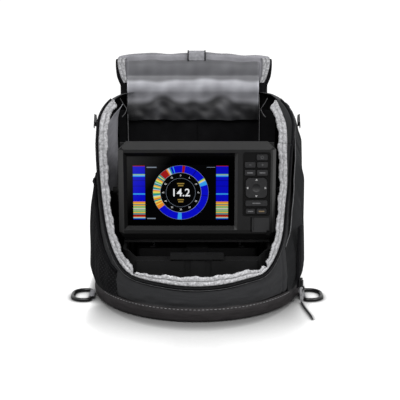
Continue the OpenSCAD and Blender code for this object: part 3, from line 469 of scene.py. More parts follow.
def capped(rings):
    """A tube's rings with both ends drawn in to a point, so the tube is closed."""
    first = np.broadcast_to(rings[0].mean(0), rings[0].shape)[None]
    last = np.broadcast_to(rings[-1].mean(0), rings[-1].shape)[None]
    return np.concatenate([first, rings, last])

print("path helpers ready")

# %% Cord tail
cord_exit = np.array([120.247, -28.536, 1.32])
cord_route = cord_exit + np.array([
    [-0.2, 2, 0], [0, -1, 0], [0.3, -5, 0], [0.8, -10, 0], [1.4, -15, 0], [2.2, -20, 0], [3, -25, 0],
    [3.9, -30, 0], [4.8, -35, 0], [5.6, -40, 0], [6.3, -45, 0], [6.8, -50, 0], [7.2, -55, 0]])

def fine_path(points, n):
    """The same path at n even steps along its length, rounded by averaging over a few steps."""
    d = run_length(points)
    t = np.linspace(0, d[-1], n)
    return smoothed(at_lengths(t, d, points), 4, mode="reflect", reflect_type="odd"), t

def tube(path, radius, sides):
    """Rings about a path, with up the third axis of the room."""
    along = unit(np.gradient(path, axis=0))
    side = unit(np.cross(along, np.array([0, 0, 1.0])))
    return rings_about(path, side, np.cross(side, along), radius, sides)

cord_path, cord_len = fine_path(cord_route, 60)
cord_rings = capped(tube(cord_path, np.interp(cord_len, [0, 8, 45, cord_len[-1]], [1.0, 1.0, 0.9, 0.55]), 10))
cord_tail = surface("pull_tail", cord_rings, "pull", cord_cloth, np.r_[0, cord_len, cord_len[-1]],
                    np.linspace(0, 6.3, 11), wrap_v=True, flip=True)
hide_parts("pull_cord")
print("cord tail of", round(float(cord_len[-1]), 1), "mm")

# %% [markdown]
# ## The bag's own shape
# The bag has a flat back and a round front, its sides lean in a little, and its mouth is cut as a deep scoop.
# Three small functions hold that shape: where the plan runs, how far the sides have leaned in at a height, and
# how high the mouth's edge is. Every sewn piece is then a patch on the same wall.

# %% Plan
ROUND, ARC_Y, HALF, BACK = 120.805, 28.305, 119.0, 92.5
ARC_END_Y, TURN, TURN_X, TURN_Y = 7.5, 25.0, 94.0, 67.5
ARC = ROUND * math.acos((ARC_Y - ARC_END_Y) / ROUND)
SIDE, CORNER, REAR = 60.0, 12.5 * math.pi, 94.0
GIRTH = 2 * (ARC + SIDE + CORNER + REAR)

def plan(q):
    """Point and outward direction on the plan, q millimetres from the middle of the front, right positive."""
    s, a = np.where(q < 0, -1.0, 1.0), np.abs(q)
    f = np.clip(a, 0, ARC) / ROUND
    c = np.clip(a - ARC - SIDE, 0, CORNER) / TURN
    part = [a <= ARC, a <= ARC + SIDE, a <= ARC + SIDE + CORNER]
    x = np.select(part, [ROUND * np.sin(f), HALF + 0 * a, TURN_X + TURN * np.cos(c)],
                  TURN_X - (a - ARC - SIDE - CORNER))
    y = np.select(part, [ARC_Y - ROUND * np.cos(f), ARC_END_Y + a - ARC, TURN_Y + TURN * np.sin(c)], BACK)
    nx = np.select(part, [np.sin(f), 1.0 + 0 * a, np.cos(c)], 0.0)
    ny = np.select(part, [-np.cos(f), 0.0 * a, np.sin(c)], 1.0)
    return s * x, y, s * nx, ny

print("girth of the bag:", round(GIRTH), "mm")

# %% Lean and rim
LEAN, SHOULDER_X, SHOULDER_Z, SHOULDER = 6.0, 83.0, 198.0, 30.0
SCOOP_Y, SCOOP_Z, SCOOP = -127.5, 144.28, 110.0
RISE_Y, RISE_Z, RISE_SLOPE = -26.47, 100.77, 2.3217
CROWN_Y, CROWN_Z, CROWN = 80.97, 148.0, 80.0

def lean(z):
    """Half width at height z as a share of the floor's: a straight lean, then a rounded shoulder."""
    z = np.asarray(z, float)
    straight = HALF - LEAN * z / SHOULDER_Z
    round_top = SHOULDER_X + np.sqrt(np.maximum(SHOULDER ** 2 - np.clip(z - SHOULDER_Z, 0, SHOULDER) ** 2, 0))
    return np.where(z <= SHOULDER_Z, straight, round_top) / HALF

def rim(y):
    """Height of the mouth's edge at depth y: a scooped arc, a straight rise, a rounded crown, then level."""
    scoop = SCOOP_Z - np.sqrt(np.maximum(SCOOP ** 2 - (y - SCOOP_Y) ** 2, 0))
    rise = RISE_Z + (y - RISE_Y) * RISE_SLOPE
    crown = CROWN_Z + np.sqrt(np.maximum(CROWN ** 2 - np.minimum(y - CROWN_Y, 0) ** 2, 0))
    return np.select([y < RISE_Y, y < ARC_END_Y], [scoop, rise], crown)

def rim_at(q):
    """The mouth's edge along the plan: the arc above, with the two lower corners drawn a little deeper by the load."""
    left, right = [np.exp(-((q - c) / w) ** 2) for c, w in ((-90, 31), (84, 20))]
    return rim(plan(q)[1]) - 7.0 * left - 5.5 * right

print("mouth's edge at the front:", round(float(rim_at(np.zeros(1))[0]), 1), "mm up")

# %% Wall as a surface
TOP_ROUND_Z, TOP_ROUND = 220.0, 8.0

def ease(t):
    """A smooth step: 0 below 0, 1 above 1, and 3 t^2 - 2 t^3 between."""
    t = np.clip(t, 0, 1)
    return t * t * (3 - 2 * t)

def sag(q, z):
    """How far the right wall leans in under its full pocket, most near the mouth."""
    along = ease((q - 70) / 70) * (1 - ease((q - ARC - 50) / 30))
    return 7.0 * along * ease((z - 30) / 90) * (1 - 0.5 * ease((z - 165) / 40))

def wall(q, z, out=0.0):
    """The bag's wall at plan length q and height z, moved out by a distance; the back's top edge is rounded."""
    x, y, nx, ny = plan(q)
    out = out - sag(q, z)
    tuck = TOP_ROUND - np.sqrt(np.maximum(TOP_ROUND ** 2 - np.clip(z - TOP_ROUND_Z, 0, TOP_ROUND) ** 2, 0))
    return np.stack(np.broadcast_arrays((x + out * nx) * lean(z), y + out * ny - tuck * np.maximum(ny, 0), z), -1)

print("middle of the front, floor level:", wall(np.zeros(1), np.zeros(1))[0].round(1))

# %% [markdown]
# ## Wall of the bag
# The padded wall is four panels sewn together. It could be four plates, but cloth never shows a plate: it pulls
# in at each seam and swells between them. So the wall is one closed strip round the bag whose push outwards
# falls to a groove at every seam, with slow folds added, and its edge rolls over the rim.

# %% Bag wall
SEAMS = [-226.0, -113.0, 113.0, 226.0]

def ripples(u, v, waves):
    """A sum of waves a * sin(ku * u + kv * v + p): a repeatable stand-in for cloth's small unevenness."""
    total = np.zeros(np.broadcast(u, v).shape)
    for a, ku, kv, p in waves:
        total = total + a * np.sin(ku * u + kv * v + p)
    return total

def swell(q, z, top):
    """Outward push of the wall: a bulge between floor and rim, a groove at each seam, and slow folds."""
    h = np.clip((z - 17) / np.maximum(top - 17, 1), 0, 1)
    push = 1.2 * np.sin(math.pi * h) - 1.0 * np.exp(-((z - 18) / 3.0) ** 2)
    for s in SEAMS:
        push = push - 1.1 * np.exp(-((q - s) / 1.3) ** 2) + 0.5 * np.exp(-((np.abs(q - s) - 4) / 3.0) ** 2)
    folds = ripples(q, z, [(0.55, 0.09, 0.10, 0.4), (0.5, -0.13, 0.14, 1.9), (0.3, 0.27, -0.10, 3.1),
                           (0.28, 0.05, 0.31, 2.2), (0.2, -0.33, 0.24, 0.9)])
    calm = (0.25 + 0.75 * ease((100 - np.abs(q)) / 22)) * ease((z - 17) / 9) * ease((top - 11 - z) / 9)
    return push + folds * calm

q_wall = np.linspace(-GIRTH / 2, GIRTH / 2, 600, endpoint=False)
q_cols = q_wall[:, None]
top_edge = rim_at(q_wall)[:, None] - 1.6
t_out = np.linspace(0, 1, 70)[None, :]
z_out = 15.5 + (top_edge - 15.5) * t_out
roll = np.linspace(0, math.pi, 9)[None, 1:-1]
outer = wall(q_cols, z_out, swell(q_cols, z_out, top_edge) * (1 - t_out ** 14))
over = wall(q_cols, top_edge + 1.6 * np.sin(roll), -1.6 * (1 - np.cos(roll)))
t_in = np.linspace(0, 1, 6)[None, :]
inner = wall(q_cols, top_edge - 16 * t_in, -3.2 + 0 * t_in)
wall_grid = np.concatenate([outer, over, inner], 1)
wall_v = np.r_[np.linspace(0, 190, 70), 190 + np.linspace(1, 6, 7), 196 + np.linspace(1, 16, 6), 215]
bag_wall = surface("bag_wall", wall_grid, "bag", bag_cloth, np.r_[q_wall, GIRTH / 2], wall_v, wrap_u=True,
                   wrap_v=True)
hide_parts("front_panel", "left_panel", "right_panel", "back_panel")
print("wall faces:", len(bag_wall.data.polygons))

# %% [markdown]
# ## Lining
# Inside, a thin lining covers the wall: black, with a grey patch at the left of the mouth. It could be a copy of
# the wall, but loose cloth stands off the wall and puckers. So it is three sheets on the same wall, each with a
# little thickness, and a flat floor.

# %% Sheet helpers
def cloth_area(obj):
    """Area of a single sheet in square metres: the sum of its face areas."""
    areas = np.empty(len(obj.data.polygons), np.float32)
    obj.data.polygons.foreach_get("area", areas)
    return float(areas.sum())

def thicken(obj, thickness, offset=-1.0):
    """Gives a sheet its thickness in millimetres, behind its face when the offset is -1."""
    solid = obj.modifiers.new("thickness", "SOLIDIFY")
    solid.thickness = thickness * MM
    solid.offset = offset
    return obj

def lining_patch(name, q0, q1, low, high, depth, look, n=200, lean_in=0.0):
    """A sheet inside the wall from height low to a distance below the rim, with soft puckers, standing off the wall
    towards its rear end by lean_in."""
    q = np.linspace(q0, q1, n)
    edge = rim_at(q)[:, None] - high
    t = np.linspace(0, 1, 60)[None, :]
    z = low + (edge - low) * t
    puckers = ripples(q[:, None], z, [(0.2, 0.2, 0.1, 1.0), (0.15, -0.3, 0.17, 0.3)])
    out = -(depth + lean_in * ease((np.abs(q) - 165) / 52)[:, None]) + puckers
    sheet = surface(name, wall(q[:, None], z, out), "bag", look, q, np.linspace(0, 200, 60), flip=True)
    thicken(sheet, 0.6)
    cloth_area(sheet)
    return sheet

print("sheet helpers ready")

# %% Lining
lining_low = lining_patch("lining", -GIRTH / 2, GIRTH / 2, 5.0, 3.0, 4.8, black_cloth, 420)
lining_left = lining_patch("lining_left", -217.0, -150.0, 118.0, 6.0, 5.8, grey_lining, 90, 15.0)
lining_right = lining_patch("lining_right", 158.0, 217.0, 118.0, 6.0, 5.8, black_cloth, 90)
floor_q = np.linspace(-GIRTH / 2, GIRTH / 2, 240, endpoint=False)
edge_ring = wall(floor_q, 5.0 + 0 * floor_q, -4.8)[:, None, :]
floor_mid = np.array([0, 5.0, 5.0])
floor_grid = floor_mid + (edge_ring - floor_mid) * np.linspace(0, 1, 14)[None, :, None]
lining_floor = surface("lining_floor", floor_grid, "bag", black_cloth, np.r_[floor_q, GIRTH / 2],
                       np.linspace(0, 110, 14), wrap_u=True, flip=True)
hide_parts("bag_lining")

# %% [markdown]
# ## Quilted trim
# The pale trim is a soft band sewn to the mouth's edge. A row of stitches down its middle makes two puffed
# rows, and the thread draws the cloth up into short cross wrinkles. It is a profile carried along the mouth:
# two humps across, their height changed along the way by uneven wrinkles.

# %% Path of the mouth
def mouth_path(n):
    """The mouth's edge from the left rear end round the front to the right rear end, at n even steps."""
    q = np.linspace(-ARC - 45, ARC + 45, 4000)
    pts = wall(q, rim_at(q))
    d = run_length(pts)
    s = np.linspace(0, d[-1], n)
    return at_lengths(s, d, pts), s, np.interp(s, d, q)

def edge_frame(path):
    """For each step: the way into the mouth as seen from the front, the way to the viewer, and the way off the edge."""
    along = unit(np.gradient(path, axis=0))
    across = unit(np.stack([-along[:, 2], 0 * along[:, 0], along[:, 0]], 1))
    y, z = path[:, 1], path[:, 2]
    low = np.stack([0 * y, SCOOP_Y - y, SCOOP_Z - z], 1)
    mid = np.stack([0 * y, -0.918 + 0 * y, 0.396 + 0 * y], 1)
    high = np.stack([0 * y, y - CROWN_Y, z - CROWN_Z], 1)
    lift = unit(np.where((y < RISE_Y)[:, None], unit(low), np.where((y < ARC_END_Y)[:, None], mid, unit(high))))
    dip = np.minimum((across * lift).sum(1, keepdims=True), 0)
    across = unit(across - dip * lift)
    across, lift = [unit(smoothed(a, 12, mode="edge")) for a in (across, lift)]
    return across, unit(np.cross(along, across)), lift

path, s_path, q_path = mouth_path(1500)
across, face, lift = edge_frame(path)
print("mouth's edge:", round(float(s_path[-1])), "mm")

# %% Puffed band
def wrinkles(s, row):
    """Uneven cross wrinkles of a puffed row: soft ridges four to nine mm apart, some of them missing."""
    wander = 2.6 * np.sin(s * 0.11 + row) + 1.7 * np.sin(s * 0.29 + 2.1 * row) + 0.8 * np.sin(s * 0.53 + row)
    ridge = np.abs(np.sin((s + wander) * math.pi / 9.2 + 1.3 * row)) ** 0.7
    some = 0.5 + 0.5 * np.sin(s * 0.083 + 2.7 * row) * np.sin(s * 0.19 + row)
    return 0.80 - 0.44 * (1 - ridge) * some + 0.08 * np.sin((s + 1.7 * wander) * 2.0 + row)

def ribbon(path, across, u, face, v):
    """A strip beside a path: path + u * across + v * face, with u and v given across it, or at each step too."""
    u, v = np.atleast_2d(u)[..., None], np.atleast_2d(v)[..., None]
    return path[:, None, :] + across[:, None, :] * u + face[:, None, :] * v

def set_tone(obj, tone):
    """Stores one brightness per point for a toned finish."""
    layer = obj.data.color_attributes.new("tone", "FLOAT_COLOR", "POINT")
    rgba = np.stack([tone, tone, tone, np.ones_like(tone)], -1).reshape(-1, 4)
    layer.data.foreach_set("color", rgba.astype(np.float32).ravel())

def puffed_band(name, path, s, across, face, width, puff, body, tone=0.85):
    """Two humps across, h = 0.7 + puff * |sin(2 pi t)|^0.45 times the row's wrinkles, with a flat back."""
    tone = np.broadcast_to(np.asarray(tone, float), (len(path),))
    t = np.linspace(0, 1, 19)
    hump = np.abs(np.sin(2 * math.pi * t)) ** 0.45
    rows = np.where(t[None, :] < 0.5, wrinkles(s, 0.4)[:, None], wrinkles(s, 2.3)[:, None])
    small = np.clip(width / np.max(width), 0.05, 1)[:, None] ** 0.5
    front = ribbon(path, across, t * width[:, None], face, (0.7 + puff * hump[None, :] * rows) * small)
    back = ribbon(path, across, np.linspace(1, 0, 7) * width[:, None], face, -0.6)
    rings = capped(np.concatenate([front, back], 1))
    band = surface(name, rings, body, trim_cloth, np.r_[s[0], s, s[-1]],
                   np.r_[t * 15, 15 + np.linspace(0.5, 12, 7), 28], wrap_v=True)
    # Painted shade in the groove between the two rows and in the wrinkles' troughs, times the tone along the band.
    crease_shade = (1 - 0.3 * (1 - hump)[None, :] * np.ones_like(rows)) * (0.40 + 0.76 * rows) * tone[:, None]
    crease_shade = np.concatenate([crease_shade, np.repeat(tone[:, None], 7, 1)], 1)
    set_tone(band, np.concatenate([crease_shade[:1], crease_shade, crease_shade[-1:]]))
    return band

print("puffed band ready")

# %% Quilted trim
ends = ease(np.minimum(s_path, s_path[-1] - s_path) / 10)
gap = 1 - 0.75 * (np.exp(-((q_path + 76.5) / 2.2) ** 2) + np.exp(-((q_path - 89.0) / 2.2) ** 2))
edge_wave = 0.7 * np.sin(s_path * 0.21) + 0.35 * np.sin(s_path * 0.53 + 1) + 0.15 * np.sin(s_path * 1.7)
trim_width = np.interp(q_path, [-230, -165, -140, -105, -84, -74, -66, -56, -36, 0, 40, 62, 80, 92, 105, 140, 165, 230],
                       [10.6, 10.2, 8.6, 8.6, 9.4, 5.0, 5.2, 6.6, 9.2, 10.8, 10.2, 8.8, 5.6, 7.0, 7.6, 8.2, 10.2, 10.6])
inset = np.interp(q_path, [148, 158, 169, 180, 191, 202, 214], [0, 1.6, 3.8, 6.0, 7.4, 6.4, 3.6])
# The tone here is painted light: the trim is brighter across the front of the mouth and darker towards the rear.
trim = puffed_band("quilted_trim", path + across * (1.2 + inset[:, None]) + lift, s_path, across, face,
                   (trim_width + edge_wave) * (0.25 + 0.75 * ends) * gap, 1.7, "bag",
                   0.82 + 0.38 * ease((100 - np.abs(q_path)) / 20))
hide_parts("mouth_trim")
print("trim length:", round(float(s_path[-1])), "mm, widest", round(float(trim_width.max()), 1), "mm")

# %% [markdown]
# ## Facing of the trim
# At the right rear the trim stands in from the wall, and a narrow strip of the side's dark cloth fills the step
# between the two. The trim could be made wider there, but then its pale rows would run out to the wall. So it is a
# strip of its own, carried along the same edge and as wide as the step at each place.

# %% Trim facing
rear = np.flatnonzero(q_path > 153)[::3]
f_out, f_in = np.array([0.0, 0.5, 1.0]), np.array([1.0, 0.0])
f_width, f_rise = 1.6 + inset[rear, None], 0.9 + 0.5 * np.sin(math.pi * f_out)
f_front = ribbon(path[rear], across[rear], 0.9 + f_out * f_width, lift[rear], f_rise)
f_back = ribbon(path[rear], across[rear], 0.9 + f_in * f_width, lift[rear], -0.3)
facing = surface("trim_facing", capped(np.concatenate([f_front, f_back], 1)), "bag", side_cloth,
                 np.r_[s_path[rear[0]], s_path[rear], s_path[rear[-1]]], np.array([0, 4, 8, 9, 17, 18.0]), wrap_v=True)
print("facing length:", round(float(s_path[rear[-1]] - s_path[rear[0]])), "mm")

# %% [markdown]
# ## Zip of the mouth
# Outside the trim runs one half of the zip: a black tape sewn to the wall and a coil at its edge. The tape is a
# flat strip on the wall. The coil is a tube whose radius rises and falls at the pitch of the teeth.

# %% Mouth zip
def wall_frame(path, q):
    """Out of the wall, and down along it away from the mouth's edge."""
    _, _, nx, ny = plan(q)
    out = unit(np.stack([nx, ny, 0 * nx], 1))
    top = ease((path[:, 2] - 198) / 30)[:, None]
    out = unit(out * (1 - 0.75 * top) + np.array([0, 0, 1.0]) * 0.75 * top)
    along = unit(np.gradient(path, axis=0))
    down = unit(np.cross(along, out))
    return unit(np.cross(down, along)), down

def piping(name, path, out, side, radius, look, body):
    """A thin cord sewn along a path: a ring of eight points at each step."""
    d = run_length(path)
    return surface(name, capped(rings_about(path, side, out, radius, 8)), body, look, np.r_[0, d, d[-1]],
                   np.linspace(0, 3, 9), wrap_v=True)

TOOTH = 1.6
zip_path, zip_s, zip_q = mouth_path(2600)
out, down = wall_frame(zip_path, zip_q)
tape_t = np.linspace(0, 1, 9)
tape_h = np.interp(tape_t, [0, 0.06, 0.3, 0.94, 1], [1.0, 1.7, 1.5, 1.35, 0.8])
tape_front = ribbon(zip_path, down, -0.2 + 4.0 * tape_t, out, tape_h)
tape_back = ribbon(zip_path, down, np.array([3.8, -0.2]), out, -0.5)
tape = surface("zip_tape", capped(np.concatenate([tape_front, tape_back], 1)[::4]), "bag", zip_cloth,
               np.r_[0, zip_s[::4], zip_s[-1]], np.r_[tape_t * 3.4, 4, 8, 9], wrap_v=True)
coil_centre = zip_path + down * 0.2 + out * 1.9
tooth_wave = np.sin(zip_s * 2 * math.pi / TOOTH)
teeth = 0.8 + 0.22 * np.sign(tooth_wave) * np.abs(tooth_wave) ** 0.5
coil = surface("zip_coil", capped(rings_about(coil_centre, down, out, teeth, 7)), "bag", coil_plastic, wrap_v=True)
zip_pipe = piping("mouth_piping_0", (zip_path + down * 2.6 + out * 1.5)[::4], out[::4], down[::4], 0.28,
                  piping_cloth, "bag")
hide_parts("mouth_zip")
print("teeth of the zip:", round(float(zip_s[-1]) / TOOTH))

# %% [markdown]
# ## Coated boot
# The lowest finger's breadth of the bag is a boot of coated cloth that takes the wet. It is a bowl: one profile
# from the middle of the floor out, round a soft lower edge and up to the seam, carried round the plan. A plain
# extrusion would have a hard lower edge, which coated cloth never has.

# %% Boot
boot_q = np.linspace(-GIRTH / 2, GIRTH / 2, 480, endpoint=False)
boot_z = np.r_[np.zeros(3), 5 * (1 - np.cos(np.linspace(0, math.pi / 2, 8)))[1:], np.linspace(5.6, 17.0, 14)]
boot_out = np.r_[-60, -20, -6, -5 + 6 * np.sin(np.linspace(0, math.pi / 2, 8))[1:], np.full(14, 1.0)]
band = np.clip((boot_z - 5) / 12, 0, 1)
boot_out = boot_out + 0.8 * np.sin(math.pi * band) - 0.5 * band ** 6
fold = ripples(boot_q[:, None], boot_z[None, :], [(0.25, 0.12, 0.1, 0.3), (0.18, 0.23, -0.2, 2.0)]) * band[None, :]
boot_wall = wall(boot_q[:, None], boot_z[None, :] + 0 * boot_q[:, None], boot_out[None, :] + fold)
lip = wall(boot_q[:, None], np.array([17.4, 17.2, 15.5])[None, :] + 0 * boot_q[:, None],
           np.array([0.7, 0.1, -0.6])[None, :])
boot_grid = np.concatenate([boot_wall, lip], 1)
middle = boot_wall[:, :1, :] * np.array([0.0, 0.0, 1.0]) + np.array([0, 5.0, 0.0])
boot_grid = np.concatenate([middle, boot_grid], 1)
boot = surface("coated_boot", boot_grid, "bag", boot_cloth, np.r_[boot_q, GIRTH / 2],
               np.linspace(0, 140, boot_grid.shape[1]), wrap_u=True)
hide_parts("bag_floor")
print("boot faces:", len(boot.data.polygons))

# %% [markdown]
# ## Stitches of the boot
# A row of pale thread holds the boot to the wall. It could be painted, but a real stitch catches light on its own
# round back. So one small bar is modelled and set down many times, in one array, along the seam.

# %% Stitches
def repeat(shape, faces, places, frames):
    """One small shape at many places: each point is a sum of the place and the frame's three axes."""
    pts = places[:, None, :] + np.einsum("kc,ncd->nkd", shape, frames)
    idx = faces[None, :, :] + (np.arange(len(places)) * len(shape))[:, None, None]
    return pts.reshape(-1, 3), idx.reshape(-1, faces.shape[1])

def stitch_row(name, path, out, along, pitch, size, look, body):
    """A row of thread dashes: one small rounded bar per pitch, laid along the path and sunk by half."""
    d = run_length(path)
    s = np.arange(pitch / 2, d[-1], pitch)
    x, n, place = unit(at_lengths(s, d, along)), unit(at_lengths(s, d, out)), at_lengths(s, d, path)
    y = np.cross(n, x)
    long, thick = size
    a = np.linspace(0, 2 * math.pi, 6, endpoint=False)
    stations = np.array([-0.5, -0.36, 0.36, 0.5]) * long
    fat = np.array([0.35, 1.0, 1.0, 0.35]) * thick / 2
    shape = np.stack([np.repeat(stations, 6), np.outer(fat, np.cos(a)).ravel(), np.outer(fat, np.sin(a)).ravel()], 1)
    faces, _, _ = grid_faces(4, 6, wrap_v=True)
    caps = np.array([[3, 2, 1, 0], [5, 4, 3, 0], [18, 19, 20, 21], [18, 21, 22, 23]])
    pts, idx = repeat(shape, np.concatenate([faces, caps]), place, np.stack([x, y, n], 1))
    return put(name, pts, idx, body, look)

seam_q = np.linspace(-128, 128, 500)
seam = wall(seam_q, 15.4 + 0 * seam_q, 1.25)
_, _, nx, ny = plan(seam_q)
seam_stitch = stitch_row("boot_stitches", seam, np.stack([nx, ny, 0 * nx], 1), np.gradient(seam, axis=0), 4.6,
                         (2.5, 0.75), thread, "bag")
print("boot stitches:", len(seam_stitch.data.vertices) // 24)

# %% [markdown]
# ## Side pockets
# A mesh pocket with an elastic edge is sewn to the left side, and a cloth pocket with a zip to the right. Each
# one is a patch of the same wall that stands off it: nothing at its sewn edges, most in the middle, with upright
# folds where the cloth is slack.

# %% Pocket helpers
def pocket(name, q0, q1, ceiling, below, bulge, shut, waves, look):
    """A sheet over the wall from q0 to q1, up to a distance below the rim and drawn to the wall there by the share
    shut; returns the sheet, its top edge, and the plan length and height of its points."""
    q = np.linspace(q0, q1, 150)[:, None]
    edge = np.minimum(ceiling, rim(plan(q)[1] - below / 2) - below)
    z = 17.4 + (edge - 17.4) * np.linspace(0, 1, 90)[None, :]
    loose = ease((q - q0) / 13) * ease((q1 - q) / 13) * ease((z - 12) / 26) * (1 - shut * ease(1 - (edge - z) / 32))
    out = 1.4 + (sag(q, z) + bulge + ripples(q, z, waves)) * loose
    grid = wall(q, z, out)
    sheet = surface(name, grid, "bag", look, q[:, 0], np.linspace(0, float(edge.max()), 90))
    thicken(sheet, 0.8)
    cloth_area(sheet)
    return sheet, grid[:, -1], q, z

def mesh_holes(q, z):
    """Brightness of an open mesh: the paler wall shows through a hole every 5 mm, in staggered rows."""
    return 1 + 11 * np.clip(np.sin(q * 2 * math.pi / 5) * np.sin(z * 2 * math.pi / 5), 0, 1) ** 2

def edge_binding(name, path, radius, look):
    """A thin cord along a pocket's top edge, from the edge's own direction and the way out of the wall."""
    run = unit(np.gradient(path, axis=0))
    away = unit(np.stack([path[:, 0], 0 * path[:, 0], 0 * path[:, 0]], 1))
    side = unit(np.cross(run, away))
    return piping(name, path, np.cross(side, run), side, radius, look, "bag")

print("pocket helpers ready")

# %% Pockets
net_waves = [(0.7, 0.19, 0.02, 0.5), (0.5, 0.43, -0.03, 1.2), (0.3, 0.1, 0.12, 2.0)]
net, net_edge, net_q, net_z = pocket("mesh_pocket_net", -221.0, -101.0, 136.0, 12, 5.4, 0.55, net_waves, mesh_cloth)
set_tone(net, mesh_holes(net_q, net_z))
net_band = edge_binding("mesh_pocket_elastic", net_edge, 1.7, zip_cloth)
pouch_waves = [(1.0, 0.21, 0.012, 0.8), (0.8, 0.38, -0.02, 2.2), (0.4, 0.75, 0.03, 0.1)]
pouch, pouch_edge, _, _ = pocket("side_pocket_cloth", 123.0, 233.0, 217.0, 9, 6.0, 0.7, pouch_waves, side_cloth)
pouch_pipe = edge_binding("side_pocket_piping", pouch_edge, 0.55, piping_cloth)
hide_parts("mesh_pocket")
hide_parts("side_pocket")

# %% [markdown]
# ## Zip of the pocket
# The right pocket opens with an upright zip. It is made as the mouth's zip is: a flat tape, and a tube whose radius
# steps at the pitch of the teeth. Its line is straight, so both need only one direction out and one to the side.

# %% Pocket zip
ZIP_A = math.radians(64.7)
ZIP_FOOT, ZIP_TOP, SIDE_TOOTH = 19.5, 92, 1.5
zip_out = np.array([math.sin(ZIP_A), -math.cos(ZIP_A), 0])
zip_side = np.array([math.cos(ZIP_A), math.sin(ZIP_A), 0])
zip_foot = np.array([0, ARC_Y, 0]) + zip_out * (ROUND + 7.0)
rise = np.linspace(ZIP_FOOT, ZIP_TOP, 260)
upright = zip_foot + rise[:, None] * np.array([0, 0, 1.0])
flat_t = np.array([-5.0, -2, 2, 5.0, 5.0, -5.0])
flat_h = np.array([1.1, 1.3, 1.3, 1.1, 0.2, 0.2])
all_out, all_side = [np.broadcast_to(v, upright.shape) for v in (zip_out, zip_side)]
strip = ribbon(upright, all_side, flat_t, all_out, flat_h)
side_tape = surface("pocket_zip_tape", capped(strip[::6]), "bag", zip_cloth, np.r_[0, rise[::6], ZIP_TOP],
                    np.array([0, 3, 7, 10, 11, 21, 22.0]), wrap_v=True, flip=True)
tooth = 0.72 + 0.16 * np.sign(np.sin(rise * 2 * math.pi / SIDE_TOOTH))
side_coil = surface("pocket_zip_coil", capped(rings_about(upright + 1.3 * zip_out, all_side, all_out, tooth, 7)),
                    "bag", coil_plastic, wrap_v=True)
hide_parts("pocket_zip")
print("teeth of the pocket zip:", round((ZIP_TOP - ZIP_FOOT) / SIDE_TOOTH))

# %% [markdown]
# ## Webbing tabs of the rings
# Each strap ring hangs in a loop of webbing sewn to the boot. The loop is a strip bent round the ring's bar.

# %% Ring tabs
def ring_tab(name, side):
    """A strip 24 mm wide: out from the boot, half round the bar at x = 124, z = 2.3, and back to the boot."""
    a = np.linspace(math.pi / 2, -math.pi / 2, 17)
    x = np.r_[119.6, 121.8, 124 + 2.15 * np.cos(a), 121.8, 119.6]
    z = np.r_[4.45, 4.45, 2.3 + 2.15 * np.sin(a), 0.15, 0.15]
    y = -3.5 + np.linspace(-12, 12, 13)
    grid = np.stack(np.broadcast_arrays(side * x[:, None], y[None, :], z[:, None]), -1)
    tab = surface(name, grid, "bag", webbing, np.linspace(0, 16, len(x)), y, flip=side > 0)
    thicken(tab, 0.12, 0.0)
    cloth_area(tab)
    return tab

tabs = [ring_tab("ring_tab_left", -1), ring_tab("ring_tab_right", 1)]
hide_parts("ring_tabs")
print("tabs:", len(tabs))

# %% [markdown]
# ## Flap
# The flap is one padded cloth: it stands up behind the display, folds back over itself and hangs down behind
# the bag. A padded sheet is a middle line with a width and a thickness that dies away at its edges. The upper
# piece crosses the fold and the lower piece crosses the bend.

# %% Padded sheets
HINGE, FOLD, BEND = np.array([85.5, 231.0]), np.array([96.747, 271.044]), np.array([103.247, 127.044])
TILT = math.radians(6)

def standing(t, n):
    """Depth and height of a point t up the standing part and n behind the line through its hinge."""
    return HINGE[0] + n * math.cos(TILT) + t * math.sin(TILT), HINGE[1] + t * math.cos(TILT) - n * math.sin(TILT)

def flap_edges(z, back):
    """Left and right edge of the flap in x: rounded at the fold, nearly straight where it stands, wider behind."""
    t = np.clip((FOLD[1] - z) / 144, 0, 1)
    turn = 4.0 * np.clip((z - 264) / 9, 0, 1) ** 3
    waist = 2.6 * ease((262 - z) / 34) + 4.5 * ease((248 - z) / 20)
    left = np.where(back, -93.0 - 10 * ease((t - 0.3) / 0.7), -96.0 + waist) + turn
    right = np.where(back, 85.0 + 16 * ease((t - 0.3) / 0.7), 88.0 - waist) - turn
    return left, right

def top_wave(x, z):
    """The fold isn't level: it is highest left of the middle and drops to the right."""
    lift = 0.6 - 0.00035 * (x + 15) ** 2 + 0.7 * np.sin(x * 0.085 + 0.6) + 0.35 * np.sin(x * 0.21)
    return lift * ease((z - 245) / 22)

def padded_sheet(name, line, left, right, thick, body, look):
    """A middle line (n, 2) of depth and height, with edges in x and a half thickness that falls off at the edges;
    the lining's face is pale and the outer face dark, and painted shade darkens the crest of the fold."""
    run = unit(np.gradient(line, axis=0))
    away = np.stack([-run[:, 1], run[:, 0]], 1)
    e = np.sin(np.linspace(-1, 1, 41) * math.pi / 2)
    loop = np.r_[e, e[-2:0:-1]]
    front = np.arange(len(loop)) < len(e)
    face = np.where(front, 1.0, -1.0) * (1 - np.abs(loop) ** 9) ** 0.5
    x = (left + right)[:, None] / 2 + (right - left)[:, None] / 2 * loop[None, :]
    slack = ripples(x, line[:, 1:2], [(0.35, 0.06, 0.05, 0.2), (0.25, -0.13, 0.09, 1.4), (0.2, 0.22, 0.03, 2.5)])
    h = (thick[:, None] + slack) * face[None, :]
    grid = np.stack([x, line[:, :1] + away[:, :1] * h, line[:, 1:2] + away[:, 1:2] * h], -1)
    grid[..., 2] += top_wave(grid[..., 0], grid[..., 2])
    sheet = surface(name, grid, body, look, run_length(line), np.r_[loop, loop[0]] * 90, wrap_v=True)
    # Pale lining face and dark outer face, with painted shade along the crest of the fold.
    set_tone(sheet, np.where(front, 1.0, 0.14)[None, :] * (1 - 0.3 * ease((grid[..., 2] - 270.4) / 2)))
    return sheet

print("flap from hinge to fold:", round(float(np.linalg.norm(FOLD - HINGE)), 1), "mm")

